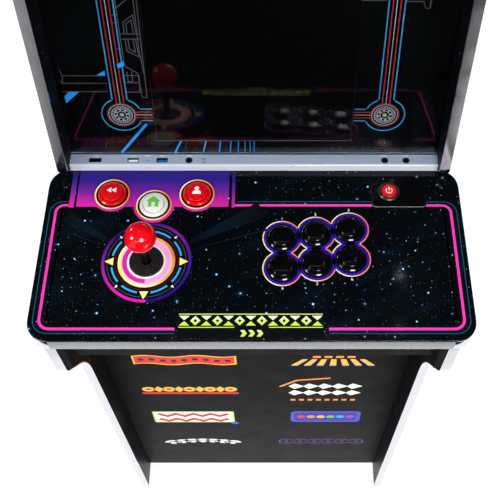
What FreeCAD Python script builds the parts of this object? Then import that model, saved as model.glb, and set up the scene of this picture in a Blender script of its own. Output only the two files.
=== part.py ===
"""Upright one-player arcade cabinet, millimetres.

X is to the player's right, Y runs from the front edge of the control deck to the back of the
cabinet, and Z is the height over the floor. Every piece is drawn with Y = 0 at the front edge
of the deck; save() moves it back by half the depth, so that the origin of the finished files
is the middle of the footprint, on the floor.
"""
import FreeCAD, Part
import math
import os

Vector = FreeCAD.Vector
X_AXIS = Vector(1, 0, 0)
Y_AXIS = Vector(0, 1, 0)
Z_AXIS = Vector(0, 0, 1)
ORIGIN = Vector(0, 0, 0)

# ---- driving dimensions -------------------------------------------------------------------

HEIGHT = 1473.0            # floor to the top of the side boards
DEPTH = 480.0              # deck front to the back of the side boards
DECK_TOP = 890.0           # floor to the playing surface
INNER = 224.0              # half the clear width between the side boards
SIDE_BOARD = 12.0          # the two side boards
BOARD = 15.0               # front, shelf and rail boards
THIN_BOARD = 12.0          # rear covers, deck floor, speaker panel
FIT = 0.3                  # gap kept between a moving piece and what it moves past

# side boards
EDGE = 1.6                 # thickness of the moulding's crown on a side board
TONGUE_T = 1.6             # the moulding's tongue, pressed into a groove in the board
TONGUE_DEEP = 8.0
GLIDE_H = 3.0              # nail-on glides under the side boards
LEG_FRONT = 63.5
HOOK_FRONT = 9.0
HOOK_ANGLE = 29.0          # slope of the hook's underside, from the vertical
HOOK_BEND_Z = DECK_TOP - 213.5
NOTCH_BACK = 228.0         # back of the notch that holds the deck
NOSE_Z = DECK_TOP + 2.0    # underside of the upper part's nose
UPPER_LEAN = math.tan(math.radians(10.37))
UPPER_FOOT = 208.7         # where the leaning front edge would meet the deck's level
UPPER_TOP_Z = DECK_TOP + 388.0
MARQUEE_FRONT = 206.0
MARQUEE_FOOT_Z = DECK_TOP + 440.0

# control deck
DECK_HALF = 248.6
DECK_DEPTH = 226.0
DECK_CORNER = 25.0
DECK_EDGE = 2.0            # crown of the deck's edge moulding
OVERLAY = 1.6              # polycarbonate sheet over the deck board
OVERLAY_INSET = 0.9        # the sheet stops short of the moulding's outer face
DECK_BOTTOM = DECK_TOP - 23.5
RAIL_FRONT = 37.0
RAIL_BOTTOM = DECK_TOP - 132.0
PANEL_FRONT = 109.0
REAR_BOARD = 464.0         # inner face of the rear covers
SHELF_Z = 30.0
DECK_SCREWS = [(-227.5, 201.0), (227.5, 201.0), (-227.5, 24.5), (227.5, 24.5)]
DECK_SHANK = 2.0
CLEAT_INNER = 215.0        # inner faces of the cleats under the deck's ends

# rear covers
SEAM_Z = 620.0             # joint between the two covers
INLET = (150.0, 120.0)     # power inlet's centre: across, height
INLET_HALF = (14.0, 10.2)
VENT_ROWS = 9
VENT_PITCH = 9.0
VENT_SLOT = 3.4
REAR_SHANK = 1.5
REAR_SCREW_DEEP = THIN_BOARD + 10
REAR_SCREWS = [(x, z) for z in (SEAM_Z - 15, SEAM_Z + 15, HEIGHT - 40) for x in (-205, 0, 205)]

# port strip between deck and screen
PORT_TOP = DECK_TOP + 12.0
PORT_SHEET = 1.5
PORT_FRONT = 225.4
PORT_BACK = 250.0
PORT_LINE = 230.6          # centre line of the sockets
LIP_FRONT = 223.0
USB_X = (-147.3, -111.9)
USB_HALF = (6.9, 3.3)
VIDEO_X = -193.3
VIDEO_HALF = (7.6, 3.0)
JACK_X = (-79.2, 159.3, 185.3)
JACK = 4.3
RESET_X = -130.0
STATUS_X = -61.3

# screen, leaning back
SCREEN_LEAN = 13.68
GLASS_FOOT = (238.1, DECK_TOP + 12.1)
GLASS_T = 3.0
GLASS_H = 400.0
BEZEL_FRONT = GLASS_T + 0.2
BEZEL_BACK = BEZEL_FRONT + 3.0
DISPLAY_HALF = 126.0
DISPLAY_T = 16.0
RAIL_T = 15.0              # timber rails behind the display
WINDOW_HALF = 117.0
WINDOW_LOW = 21.0
WINDOW_HIGH = 333.0

# buttons
BUTTON_HOLE = 15.0
BUTTON_RIM = 16.9
BUTTON_BODY = 14.7
BUTTON_BORE = 12.6
PLUNGER = BUTTON_BORE - FIT
STEM = 4.0
NUT = 18.4
NUT_GAP = 0.1              # radial clearance of a nut's thread round the barrel
SWITCH_Z = DECK_TOP - 35.0
BUTTON_PITCH = 39.6
BUTTON_STAGGER = 5.9
ACTION_FIRST = (33.9, 89.2)
MENU_BUTTONS = {"rewind_button": (-170.3, 189.1), "home_button": (-119.2, 173.8),
                "player_button": (-68.3, 189.1)}

# joystick
STICK = (-122.0, 97.6)
PIVOT_Z = DECK_TOP - 33.0
SHAFT = 4.75
STICK_HOLE = 12.6
BALL = 17.5
BALL_Z = DECK_TOP + 56.0
CASE_HALF = 32.0           # half the joystick case, square in plan
CASE_TOP = DECK_BOTTOM - 1.6
CASE_BOTTOM = DECK_TOP - 62.0
CASE_WALL = 3.0
GATE_T = 2.5
GATE_HALF = 10.3           # half the square opening that stops the shaft's tip
SLEEVE = 7.6               # actuator between the four switches
RING_OUT = 11.0            # gimbal ring
RING_IN = 8.0
RING_HALF = 3.2
PIN = 2.0                  # gimbal's pins, in the case
CROSS_PIN = 1.8            # shaft's pin, in the gimbal
PIN_CLEARANCE = 0.06       # radial clearance of both in their bores
COIL = 6.0                 # return spring: middle of its turns
COIL_WIRE = 0.6
COIL_PITCH = 2.0
COIL_TURNS = 6

# power switch
POWER_PLATE = (142.0, 206.0, 171.0, 209.0)
POWER = (162.8, 191.8)
POWER_RIM = 13.0
POWER_BORE = 9.3
PLATE_T = 1.5

# head: speaker panel, lit sign and its lamp
SPEAKER_LOW = (332.0, DECK_TOP + 404.5)
SPEAKER_HIGH = (223.0, DECK_TOP + 452.0)
SPEAKER_X = 125.0
GRILLE = 38.0              # the round of slots in front of each speaker
GRILLE_PITCH = 8.0
SIGN_FRONT = 211.0         # front of the strips that hold the sign's panel
SIGN_BACK = 222.0
SIGN_SHEET = 3.0
SIGN_FOOT = MARQUEE_FOOT_Z + 8.0
SIGN_TOP = HEIGHT - 18.0


# ---- drawing helpers ----------------------------------------------------------------------

def save(name, *solids):
    """Write one piece, or a group of identical pieces, as one STEP file."""
    shape = solids[0] if len(solids) == 1 else Part.makeCompound(list(solids))
    shape = shape.copy()
    shape.translate(Vector(0, -DEPTH / 2, 0))
    shape.exportStep(f"parts/{name}.step")


def box(x0, x1, y0, y1, z0, z1):
    return Part.makeBox(x1 - x0, y1 - y0, z1 - z0, Vector(x0, y0, z0))


def both_ends(x0, x1, y0, y1, z0, z1):
    """A box and its mirror image on the other side of the middle."""
    return [box(-x1, -x0, y0, y1, z0, z1), box(x0, x1, y0, y1, z0, z1)]


def rod(radius, x, y, z0, z1):
    return Part.makeCylinder(radius, z1 - z0, Vector(x, y, z0), Z_AXIS)


def on_side(a, b):
    """A point of an outline drawn in the side view: (depth, height)."""
    return Vector(0, a, b)


def on_plan(a, b):
    """A point of an outline drawn in the plan view: (across, depth)."""
    return Vector(a, b, 0)


def on_front(a, b):
    """A point of an outline drawn in the front view, or a turned profile: (radius, height)."""
    return Vector(a, 0, b)


def outline(corners, place):
    """Closed wire through (a, b, radius) corners, each corner rounded to its radius."""
    starts, ends, edges = [], [], []
    count = len(corners)
    for i, (a, b, radius) in enumerate(corners):
        here = place(a, b)
        if radius <= 0:
            starts.append(here)
            ends.append(here)
            continue
        before = (place(*corners[i - 1][:2]) - here).normalize()
        after = (place(*corners[(i + 1) % count][:2]) - here).normalize()
        half = before.getAngle(after) / 2
        reach = radius / math.tan(half)
        start, end = here + before * reach, here + after * reach
        middle = (before + after).normalize()
        top = here + middle * (radius / math.sin(half) - radius)
        starts.append(start)
        ends.append(end)
        edges.append((i, Part.Arc(start, top, end).toShape()))
    arcs = dict(edges)
    path = []
    for i in range(count):
        if i in arcs:
            path.append(arcs[i])
        following = starts[(i + 1) % count]
        if ends[i].distanceToPoint(following) > 1e-6:
            path.append(Part.makeLine(ends[i], following))
    return Part.Wire(path)


def slab(corners, place, start, along):
    """Extrude a rounded outline: start is the offset of its plane, along its thickness."""
    face = Part.Face(outline(corners, place))
    face.translate(start)
    return face.extrude(along)


def rounded_rectangle(x0, x1, y0, y1, radius):
    return [(x0, y0, radius), (x1, y0, radius), (x1, y1, radius), (x0, y1, radius)]


def plate(x0, x1, y0, y1, radius, z0, z1):
    """Flat plate with rounded corners in plan."""
    corners = rounded_rectangle(x0, x1, y0, y1, radius)
    return slab(corners, on_plan, Vector(0, 0, z0), Vector(0, 0, z1 - z0))


def turned(profile, x, y, z):
    """Solid of revolution about a vertical axis through (x, y), profile as (radius, height)."""
    face = Part.Face(outline(profile, on_front))
    solid = face.revolve(ORIGIN, Z_AXIS, 360)
    solid.translate(Vector(x, y, z))
    return solid


def leaning(solid):
    """Place a piece drawn in the screen's own frame: X across, Y into the screen, Z up it."""
    placed = solid.copy()
    placed.rotate(ORIGIN, X_AXIS, -SCREEN_LEAN)
    placed.translate(Vector(0, GLASS_FOOT[0], GLASS_FOOT[1]))
    return placed


# ---- cabinet boards -----------------------------------------------------------------------

def side_corners():
    """Outer edge of the moulding on a side board, in the side view."""
    rise = (LEG_FRONT - HOOK_FRONT) / math.tan(math.radians(HOOK_ANGLE))
    top_y = UPPER_FOOT + UPPER_LEAN * (UPPER_TOP_Z - DECK_TOP)
    nose_y = UPPER_FOOT + UPPER_LEAN * (NOSE_Z - DECK_TOP)
    under_deck = DECK_BOTTOM + EDGE
    floor = GLIDE_H - EDGE
    return [(LEG_FRONT, floor, 0), (LEG_FRONT, HOOK_BEND_Z, 150),
            (HOOK_FRONT, HOOK_BEND_Z + rise, 30), (HOOK_FRONT, under_deck, 0),
            (NOTCH_BACK, under_deck, 0), (NOTCH_BACK, NOSE_Z, 0), (nose_y, NOSE_Z, 15),
            (top_y, UPPER_TOP_Z, 45), (MARQUEE_FRONT, MARQUEE_FOOT_Z, 30),
            (MARQUEE_FRONT, HEIGHT, 18), (DEPTH, HEIGHT, 18), (DEPTH, floor, 0)]


def unmoulded(margin):
    """Where a side board's edge stays bare: the deck's notch and the foot, grown by a margin."""
    notch = box(-1, SIDE_BOARD + 1, HOOK_FRONT - 1, NOTCH_BACK + EDGE + margin,
                DECK_BOTTOM - margin, NOSE_Z + margin)
    foot = box(-1, SIDE_BOARD + 1, LEG_FRONT - 1, DEPTH + 1, 0, GLIDE_H + margin)
    return Part.makeCompound([notch, foot])


def side_boards():
    """Two boards cut to one outline, each with a chrome moulding pressed into its edge."""
    outer = Part.Face(outline(side_corners(), on_side))
    board_face = outer.makeOffset2D(-EDGE)
    core_face = board_face.makeOffset2D(-TONGUE_DEEP)
    crown = outer.cut(board_face).extrude(X_AXIS * SIDE_BOARD).cut(unmoulded(0))
    tongue = board_face.cut(core_face).extrude(X_AXIS * TONGUE_T).cut(unmoulded(TONGUE_DEEP))
    tongue.translate(X_AXIS * (SIDE_BOARD - TONGUE_T) / 2)
    board = board_face.extrude(X_AXIS * SIDE_BOARD).cut(tongue)
    moulding = crown.fuse(tongue)
    mouldings = []
    for name, side, shift in (("left", -1, -INNER - SIDE_BOARD), ("right", 1, INNER)):
        panel, trim = board.copy(), moulding.copy()
        panel.translate(X_AXIS * shift)
        trim.translate(X_AXIS * shift)
        for x, y in DECK_SCREWS:
            if x * side > 0:
                panel = panel.cut(rod(DECK_SHANK, x, y, DECK_BOTTOM - 18, DECK_BOTTOM + 2))
        save(f"{name}_side_panel", panel)
        mouldings += trim.Solids
    save("side_mouldings", *mouldings)


def carcass():
    """Front, rear, shelf and top boards between the sides."""
    save("lower_front_panel", box(-INNER, INNER, PANEL_FRONT, PANEL_FRONT + BOARD,
                                  5, RAIL_BOTTOM))
    save("bottom_shelf", box(-INNER, INNER, PANEL_FRONT + BOARD, REAR_BOARD,
                             SHELF_Z, SHELF_Z + BOARD))
    save("top_panel", box(-INNER, INNER, SIGN_BACK, REAR_BOARD, HEIGHT - 20, HEIGHT - 5))
    save("deck_front_rail", box(-INNER, INNER, RAIL_FRONT, RAIL_FRONT + BOARD,
                                RAIL_BOTTOM, DECK_BOTTOM))
    save("deck_floor", box(-INNER, INNER, RAIL_FRONT + BOARD, PORT_BACK,
                           RAIL_BOTTOM, RAIL_BOTTOM + THIN_BOARD))
    deck_rear = box(-INNER, INNER, PORT_BACK - THIN_BOARD, PORT_BACK,
                    RAIL_BOTTOM + THIN_BOARD, PORT_TOP - PORT_SHEET)
    seam = box(-INNER, INNER, REAR_BOARD - BOARD, REAR_BOARD, SEAM_Z - 30, SEAM_Z + 30)
    head = box(-INNER, INNER, REAR_BOARD - BOARD, REAR_BOARD, HEIGHT - 60, HEIGHT - 20)
    cleats = both_ends(CLEAT_INNER, INNER, 10, RAIL_FRONT, DECK_TOP - 106, DECK_BOTTOM)
    pilots = rear_pilots()
    save("cross_rails", deck_rear, seam.cut(pilots), head.cut(pilots), *cleats)


def vents(x0, x1, z0, y0, y1):
    """Rows of narrow ventilation slots as cutting solids."""
    return [box(x0, x1, y0, y1, z0 + i * VENT_PITCH, z0 + i * VENT_PITCH + VENT_SLOT)
            for i in range(VENT_ROWS)]


def rear_pilots():
    """The holes of the rear covers' screws, as one cutting shape."""
    start = REAR_BOARD + THIN_BOARD - REAR_SCREW_DEEP
    return Part.makeCompound([Part.makeCylinder(REAR_SHANK, REAR_SCREW_DEEP, Vector(x, start, z),
                                                Y_AXIS) for x, z in REAR_SCREWS])


def rear_covers():
    back = REAR_BOARD + THIN_BOARD
    lower = box(-INNER, INNER, REAR_BOARD, back, 5, SEAM_Z - 0.5)
    lower = lower.cut(box(INLET[0] - INLET_HALF[0], INLET[0] + INLET_HALF[0], REAR_BOARD, back,
                          INLET[1] - INLET_HALF[1], INLET[1] + INLET_HALF[1]))
    upper = box(-INNER, INNER, REAR_BOARD, back, SEAM_Z + 0.5, HEIGHT - 20)
    slots = vents(-150, -50, 1250, REAR_BOARD, back) + vents(50, 150, 1250, REAR_BOARD, back)
    slots += vents(-60, 60, 760, REAR_BOARD, back)
    upper = upper.cut(Part.makeCompound(slots))
    pilots = rear_pilots()
    save("lower_rear_panel", lower.cut(pilots))
    save("upper_rear_panel", upper.cut(pilots))


def screw(x, y, z, length, head, shank):
    """Button-head screw, pointing down, its head resting at height z."""
    profile = [(0, 2.4, 0), (head * 0.55, 2.4, head * 0.5), (head, 0.5, 0.3), (head, 0, 0),
               (shank, 0, 0), (shank, -length, 0), (0, -length, 0)]
    socket = Part.Face(Part.makePolygon([Vector(1.6 * math.cos(math.radians(60 * i)),
                                                1.6 * math.sin(math.radians(60 * i)), 1.3)
                                         for i in range(7)])).extrude(Z_AXIS * 3)
    solid = turned(profile, 0, 0, 0).cut(socket)
    solid.translate(Vector(x, y, z))
    return solid


def screws():
    """Four through the deck, and the rows that hold the rear covers."""
    solids = [screw(x, y, DECK_TOP, 38, 4.0, DECK_SHANK) for x, y in DECK_SCREWS]
    for x, z in REAR_SCREWS:
        piece = screw(0, 0, 0, REAR_SCREW_DEEP, 3.6, REAR_SHANK)
        piece.rotate(ORIGIN, X_AXIS, -90)
        piece.translate(Vector(x, REAR_BOARD + THIN_BOARD, z))
        solids.append(piece)
    save("panel_screws", *solids)


def glides():
    """Nail-on glides under the side boards."""
    middle = INNER + SIDE_BOARD / 2
    profile = [(0, 0, 0), (5.2, 0, 1.4), (5.6, GLIDE_H, 0), (0, GLIDE_H, 0)]
    save("floor_glides", *[turned(profile, x, y, 0)
                           for x in (-middle, middle) for y in (82, 455)])


# ---- control deck -------------------------------------------------------------------------

def action_centres():
    x0, y0 = ACTION_FIRST
    front = [(x0 + BUTTON_PITCH * i, y0 + BUTTON_STAGGER * i) for i in range(3)]
    return [(x, y + BUTTON_PITCH) for x, y in front] + front


def button_centres():
    return list(MENU_BUTTONS.values()) + action_centres()


def deck_holes(z0, z1):
    """Everything that passes through the deck, as one cutting shape."""
    holes = [rod(BUTTON_HOLE, x, y, z0, z1) for x, y in button_centres()]
    holes.append(rod(STICK_HOLE, *STICK, z0, z1))
    holes.append(rod(POWER_BORE + 1.3, *POWER, z0, z1))
    holes += [rod(DECK_SHANK, x, y, z0, z1) for x, y in DECK_SCREWS]
    return Part.makeCompound(holes)


def deck():
    board_top = DECK_TOP - OVERLAY
    outer = (-DECK_HALF, DECK_HALF, 0, DECK_DEPTH, DECK_CORNER)
    inner = (-DECK_HALF + DECK_EDGE, DECK_HALF - DECK_EDGE, DECK_EDGE, DECK_DEPTH - DECK_EDGE,
             DECK_CORNER - DECK_EDGE)
    board = plate(*inner, DECK_BOTTOM, board_top)
    half, inset = DECK_HALF - OVERLAY_INSET, OVERLAY_INSET
    sheet = plate(-half, half, inset, DECK_DEPTH - inset, DECK_CORNER - inset,
                  board_top, DECK_TOP)
    save("deck_board", board.cut(deck_holes(DECK_BOTTOM - 1, DECK_TOP)))
    save("deck_overlay", sheet.cut(deck_holes(board_top - 1, DECK_TOP + 1)))
    save("deck_moulding", plate(*outer, DECK_BOTTOM, board_top).cut(board))


def power_switch():
    """Round lit push switch on a glossy black plate."""
    x0, x1, y0, y1 = POWER_PLATE
    hole = rod(POWER_BORE + 1.3, *POWER, DECK_TOP - 1, DECK_TOP + 5)
    save("power_plate", plate(x0, x1, y0, y1, 5, DECK_TOP, DECK_TOP + PLATE_T).cut(hole))
    seat = DECK_TOP + PLATE_T
    body = [(POWER_BORE, 2.2, 0.4), (POWER_RIM - 1.6, 2.2, 0.8), (POWER_RIM, 0.6, 0.5),
            (POWER_RIM, 0, 0), (POWER_BORE + 1.2, 0, 0), (POWER_BORE + 1.2, -30, 0),
            (0, -30, 0), (0, -20, 0), (POWER_BORE, -20, 0)]
    save("power_switch_body", turned(body, *POWER, seat))
    lens = POWER_BORE - FIT
    cap = [(0, 3.4, 0), (lens * 0.5, 3.4, 30), (lens, 2.8, 0.8), (lens, -14, 0), (0, -14, 0)]
    save("power_button", turned(cap, *POWER, seat))


# ---- buttons ------------------------------------------------------------------------------

def button_housing(x, y):
    """Threaded barrel with a rounded rim; its bore guides the plunger."""
    profile = [(BUTTON_BORE, 2.3, 0.5), (14.6, 3.1, 1.6), (BUTTON_RIM, 1.4, 1.2),
               (BUTTON_RIM, 0, 0), (BUTTON_BODY, 0, 0), (BUTTON_BODY, -33.5, 0),
               (STEM + 0.5, -33.5, 0), (STEM + 0.5, -31, 0), (BUTTON_BORE, -31, 0)]
    return turned(profile, x, y, DECK_TOP)


def button_plunger(x, y):
    """Domed cap with a skirt and a central stem that works the switch."""
    profile = [(0, 6.4, 0), (6.2, 6.4, 46), (PLUNGER, 5.0, 1.2), (PLUNGER, -9, 0),
               (PLUNGER - 2, -9, 0), (PLUNGER - 2, 2.4, 1.0), (STEM, 2.4, 0),
               (STEM, -31.4, 0), (0, -31.4, 0)]
    return turned(profile, x, y, DECK_TOP)


def button_nut(x, y):
    """Twelve-sided plastic nut drawn up against the underside of the deck."""
    flats = [Vector(NUT * math.cos(math.radians(30 * i)), NUT * math.sin(math.radians(30 * i)),
                    DECK_BOTTOM - 6) for i in range(13)]
    solid = Part.Face(Part.makePolygon(flats)).extrude(Z_AXIS * 6)
    solid.translate(Vector(x, y, 0))
    return solid.cut(rod(BUTTON_BODY + NUT_GAP, x, y, DECK_BOTTOM - 7, DECK_BOTTOM))


def micro_switch(x, y, z):
    """Snap switch hanging below z: case and three tabs."""
    case = box(x - 10, x + 10, y - 3.2, y + 3.2, z - 12, z)
    tabs = [box(x + d - 1.6, x + d + 1.6, y - 0.4, y + 0.4, z - 19, z - 12)
            for d in (-7, 0, 7)]
    return case.fuse(tabs)


def buttons():
    menu = MENU_BUTTONS
    save("action_button_housings", *[button_housing(*at) for at in action_centres()])
    save("red_button_housings", *[button_housing(*menu[name])
                                  for name in ("rewind_button", "player_button")])
    save("white_button_housing", button_housing(*menu["home_button"]))
    for name, at in menu.items():
        save(name, button_plunger(*at))
    for i, at in enumerate(action_centres()):
        save(f"action_button_{i + 1}", button_plunger(*at))
    save("button_nuts", *[button_nut(*at) for at in button_centres()])
    switches = []
    for x, y in button_centres():
        collar = rod(7.0, x, y, SWITCH_Z, SWITCH_Z + 1.5)
        collar = collar.cut(rod(STEM + 0.5, x, y, SWITCH_Z, SWITCH_Z + 1.5))
        switches.append(micro_switch(x, y, SWITCH_Z).fuse(collar))
    save("button_switches", *switches)


# ---- joystick -----------------------------------------------------------------------------

def pin_x(radius, x0, x1):
    return Part.makeCylinder(radius, x1 - x0, Vector(x0, 0, 0), X_AXIS)


def pin_y(radius, y0, y1):
    return Part.makeCylinder(radius, y1 - y0, Vector(0, y0, 0), Y_AXIS)


def at_pivot(solid):
    """Place a piece drawn about the stick's pivot."""
    placed = solid.copy()
    placed.translate(Vector(*STICK, PIVOT_Z))
    return placed


def stick_fixed_parts():
    """Steel plate under the deck, case with bearings, square gate and four switches."""
    x, y = STICK
    square = (x - CASE_HALF, x + CASE_HALF, y - CASE_HALF, y + CASE_HALF, 4)
    steel = plate(x - 47.5, x + 47.5, y - 26.5, y + 26.5, 4, CASE_TOP, DECK_BOTTOM)
    save("stick_base_plate", steel.cut(rod(STICK_HOLE, x, y, CASE_TOP - 1, DECK_BOTTOM + 1)))
    hollow = CASE_HALF - CASE_WALL
    ceiling = CASE_TOP - CASE_WALL
    case = plate(*square, CASE_BOTTOM, CASE_TOP)
    case = case.cut(box(x - hollow, x + hollow, y - hollow, y + hollow, CASE_BOTTOM - 1, ceiling))
    case = case.cut(rod(13.0, x, y, ceiling - 1, CASE_TOP + 1))
    bearings = both_ends(12.5, hollow, -5, 5, -5, ceiling - PIVOT_Z)
    case = case.fuse([at_pivot(bearing) for bearing in bearings])
    save("stick_housing", case.cut(at_pivot(pin_x(PIN + PIN_CLEARANCE, -24, 24))))
    gate = plate(*square, CASE_BOTTOM - GATE_T, CASE_BOTTOM)
    save("stick_gate", gate.cut(plate(x - GATE_HALF, x + GATE_HALF, y - GATE_HALF, y + GATE_HALF,
                                      2, CASE_BOTTOM - GATE_T - 1, CASE_BOTTOM + 1)))
    switches = []
    for turn in range(4):
        switch = box(12.6, 19.2, -10, 10, CASE_BOTTOM, CASE_BOTTOM + 15)
        switch.rotate(ORIGIN, Z_AXIS, 90 * turn)
        switch.translate(Vector(x, y, 0))
        switches.append(switch)
    save("stick_switches", *switches)


def stick_moving_parts():
    """Gimbal ring, shaft with its cross pin, actuator sleeve, spring, ball and dust discs."""
    ring = Part.makeCylinder(RING_OUT, 2 * RING_HALF, Vector(0, 0, -RING_HALF))
    ring = ring.cut(Part.makeCylinder(RING_IN, 2 * RING_HALF, Vector(0, 0, -RING_HALF)))
    ring = ring.fuse([pin_x(PIN, RING_IN + 1, 22), pin_x(PIN, -22, -RING_IN - 1)])
    save("stick_gimbal", at_pivot(ring.cut(pin_y(CROSS_PIN + PIN_CLEARANCE, -20, 20))))
    low = CASE_BOTTOM - GATE_T - 1 - PIVOT_Z
    neck = BALL_Z - 13.5 - PIVOT_Z
    profile = [(0, low, 0), (SHAFT, low, 0.8), (SHAFT, -4, 0), (6.4, -4, 0), (6.4, 4, 0),
               (SHAFT, 4, 0), (SHAFT, neck, 0), (3.0, neck, 0), (3.0, neck + 16, 0),
               (0, neck + 16, 0)]
    save("stick_shaft", at_pivot(turned(profile, 0, 0, 0).fuse(pin_y(CROSS_PIN, -10.6, 10.6))))
    foot, length = Vector(0, 0, low + 4.5), 11
    sleeve = Part.makeCylinder(SLEEVE, length, foot)
    save("stick_actuator", at_pivot(sleeve.cut(Part.makeCylinder(SHAFT, length, foot))))
    coil_low = foot.z + length
    turns = [Part.makeTorus(COIL, COIL_WIRE, Vector(0, 0, coil_low + COIL_WIRE + COIL_PITCH * i))
             for i in range(COIL_TURNS)]
    stem = Part.makeCylinder(0.5, -4.6 - coil_low, Vector(COIL, 0, coil_low))
    save("stick_spring", at_pivot(stem.fuse(turns)))
    bore = Part.makeCylinder(3.0, 16, Vector(0, 0, -13.5))
    mouth = Part.makeCylinder(SHAFT, 10, Vector(0, 0, -23.5))
    ball = Part.makeSphere(BALL).cut(bore).cut(mouth)
    ball.translate(Vector(*STICK, BALL_Z))
    save("stick_ball", ball)
    x, y = STICK
    slot = rounded_rectangle(x - 5.5, x + 5.5, y - 11.2, y + 11.2, 5.4)
    shutter = rod(17.0, x, y, DECK_TOP + 0.3, DECK_TOP + 1.0)
    save("dust_shutter", shutter.cut(slab(slot, on_plan, Vector(0, 0, DECK_TOP), Z_AXIS * 2)))
    disc = [(5.5, 1.3, 0), (19.6, 1.3, 0), (19.6, 2.3, 0.5), (5.5, 2.3, 0.3)]
    save("dust_washer", turned(disc, x, y, DECK_TOP))


# ---- port strip ---------------------------------------------------------------------------

def port_block(x, half, depth, above=0):
    """Block round a socket's centre, from depth under the strip's top to above it."""
    return box(x - half[0], x + half[0], PORT_LINE - half[1], PORT_LINE + half[1],
               PORT_TOP - depth, PORT_TOP + above)


def port_strip():
    """Brushed ledge with the sockets that face up, and the chrome lip along its front."""
    y = PORT_LINE
    cuts = [port_block(x, USB_HALF, 3, 1) for x in USB_X] + [port_block(VIDEO_X, VIDEO_HALF, 3, 1)]
    cuts += [rod(JACK, x, y, PORT_TOP - 3, PORT_TOP + 1) for x in JACK_X]
    cuts.append(rod(0.8, RESET_X, y, PORT_TOP - 3, PORT_TOP + 1))
    cuts += [box(STATUS_X - 2.6, STATUS_X + 2.6, y + dy - 0.7, y + dy + 0.7,
                 PORT_TOP - 3, PORT_TOP + 1) for dy in (-2.2, 2.2)]
    sheet = box(-INNER, INNER, PORT_FRONT, PORT_BACK, PORT_TOP - PORT_SHEET, PORT_TOP)
    save("port_panel", sheet.cut(cuts))
    save("port_lip", box(-INNER, INNER, LIP_FRONT, PORT_FRONT, DECK_TOP + FIT, PORT_TOP))
    save("usb_ports", *[port_block(x, USB_HALF, 16).cut(port_block(x, (6.3, 2.6), 12, 1))
                        for x in USB_X])
    x = VIDEO_X
    well = [(x - 7.0, y + 2.3, 0), (x - 7.0, y - 1.2, 0), (x - 5.6, y - 2.3, 0),
            (x + 5.6, y - 2.3, 0), (x + 7.0, y - 1.2, 0), (x + 7.0, y + 2.3, 0)]
    mouth = slab(well, on_plan, Vector(0, 0, PORT_TOP - 11), Z_AXIS * 12)
    barrel = [(1.8, 0.5, 0), (3.3, 0.5, 0.3), (JACK, 0, 0), (JACK, -16, 0), (1.8, -16, 0)]
    save("av_sockets", port_block(x, VIDEO_HALF, 14).cut(mouth),
         *[turned(barrel, x, y, PORT_TOP) for x in JACK_X])


# ---- screen and head ----------------------------------------------------------------------

def screen():
    """Front glass, printed bezel board, display and the timber that carries them."""
    wide = INNER - FIT
    save("screen_glass", leaning(box(-wide, wide, 0, GLASS_T, 1, GLASS_H)))
    bezel = box(-wide, wide, BEZEL_FRONT, BEZEL_BACK, 3, GLASS_H)
    window = box(-WINDOW_HALF, WINDOW_HALF, BEZEL_FRONT - 1, BEZEL_BACK + 1,
                 WINDOW_LOW, WINDOW_HIGH)
    save("bezel_board", leaning(bezel.cut(window)))
    back = BEZEL_BACK + DISPLAY_T
    save("lcd_panel", leaning(box(-DISPLAY_HALF, DISPLAY_HALF, BEZEL_BACK, back,
                                  WINDOW_LOW - 9, WINDOW_HIGH + 9)))
    timber = both_ends(206, INNER, BEZEL_BACK, back, 20, GLASS_H)
    timber += [box(-INNER, INNER, back, back + RAIL_T, u, u + 45) for u in (60, 250)]
    save("screen_frame", *[leaning(piece) for piece in timber])


def main_board():
    """Card on posts behind the display's rails."""
    back = BEZEL_BACK + DISPLAY_T + RAIL_T
    posts = [box(x - 3, x + 3, back, back + 6, u - 3, u + 3) for x in (-60, 60) for u in (100, 254)]
    card = box(-70, 70, back + 6, back + 7.6, 95, 260)
    chips = [box(x, x + w, back + 7.6, back + 7.6 + h, u, u + l)
             for x, u, w, l, h in ((-20, 150, 34, 34, 4), (30, 120, 14, 20, 2),
                                   (-60, 220, 40, 25, 8), (30, 200, 30, 40, 6))]
    return leaning(card.fuse(chips + posts))


def tilted(solid):
    """Place a piece drawn flat on the speaker panel: X across, Y up its slope, Z through it."""
    rise = math.degrees(math.atan2(SPEAKER_HIGH[1] - SPEAKER_LOW[1],
                                   SPEAKER_LOW[0] - SPEAKER_HIGH[0]))
    placed = solid.copy()
    placed.rotate(ORIGIN, X_AXIS, -rise)
    placed.translate(Vector(0, *SPEAKER_LOW))
    return placed


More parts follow.
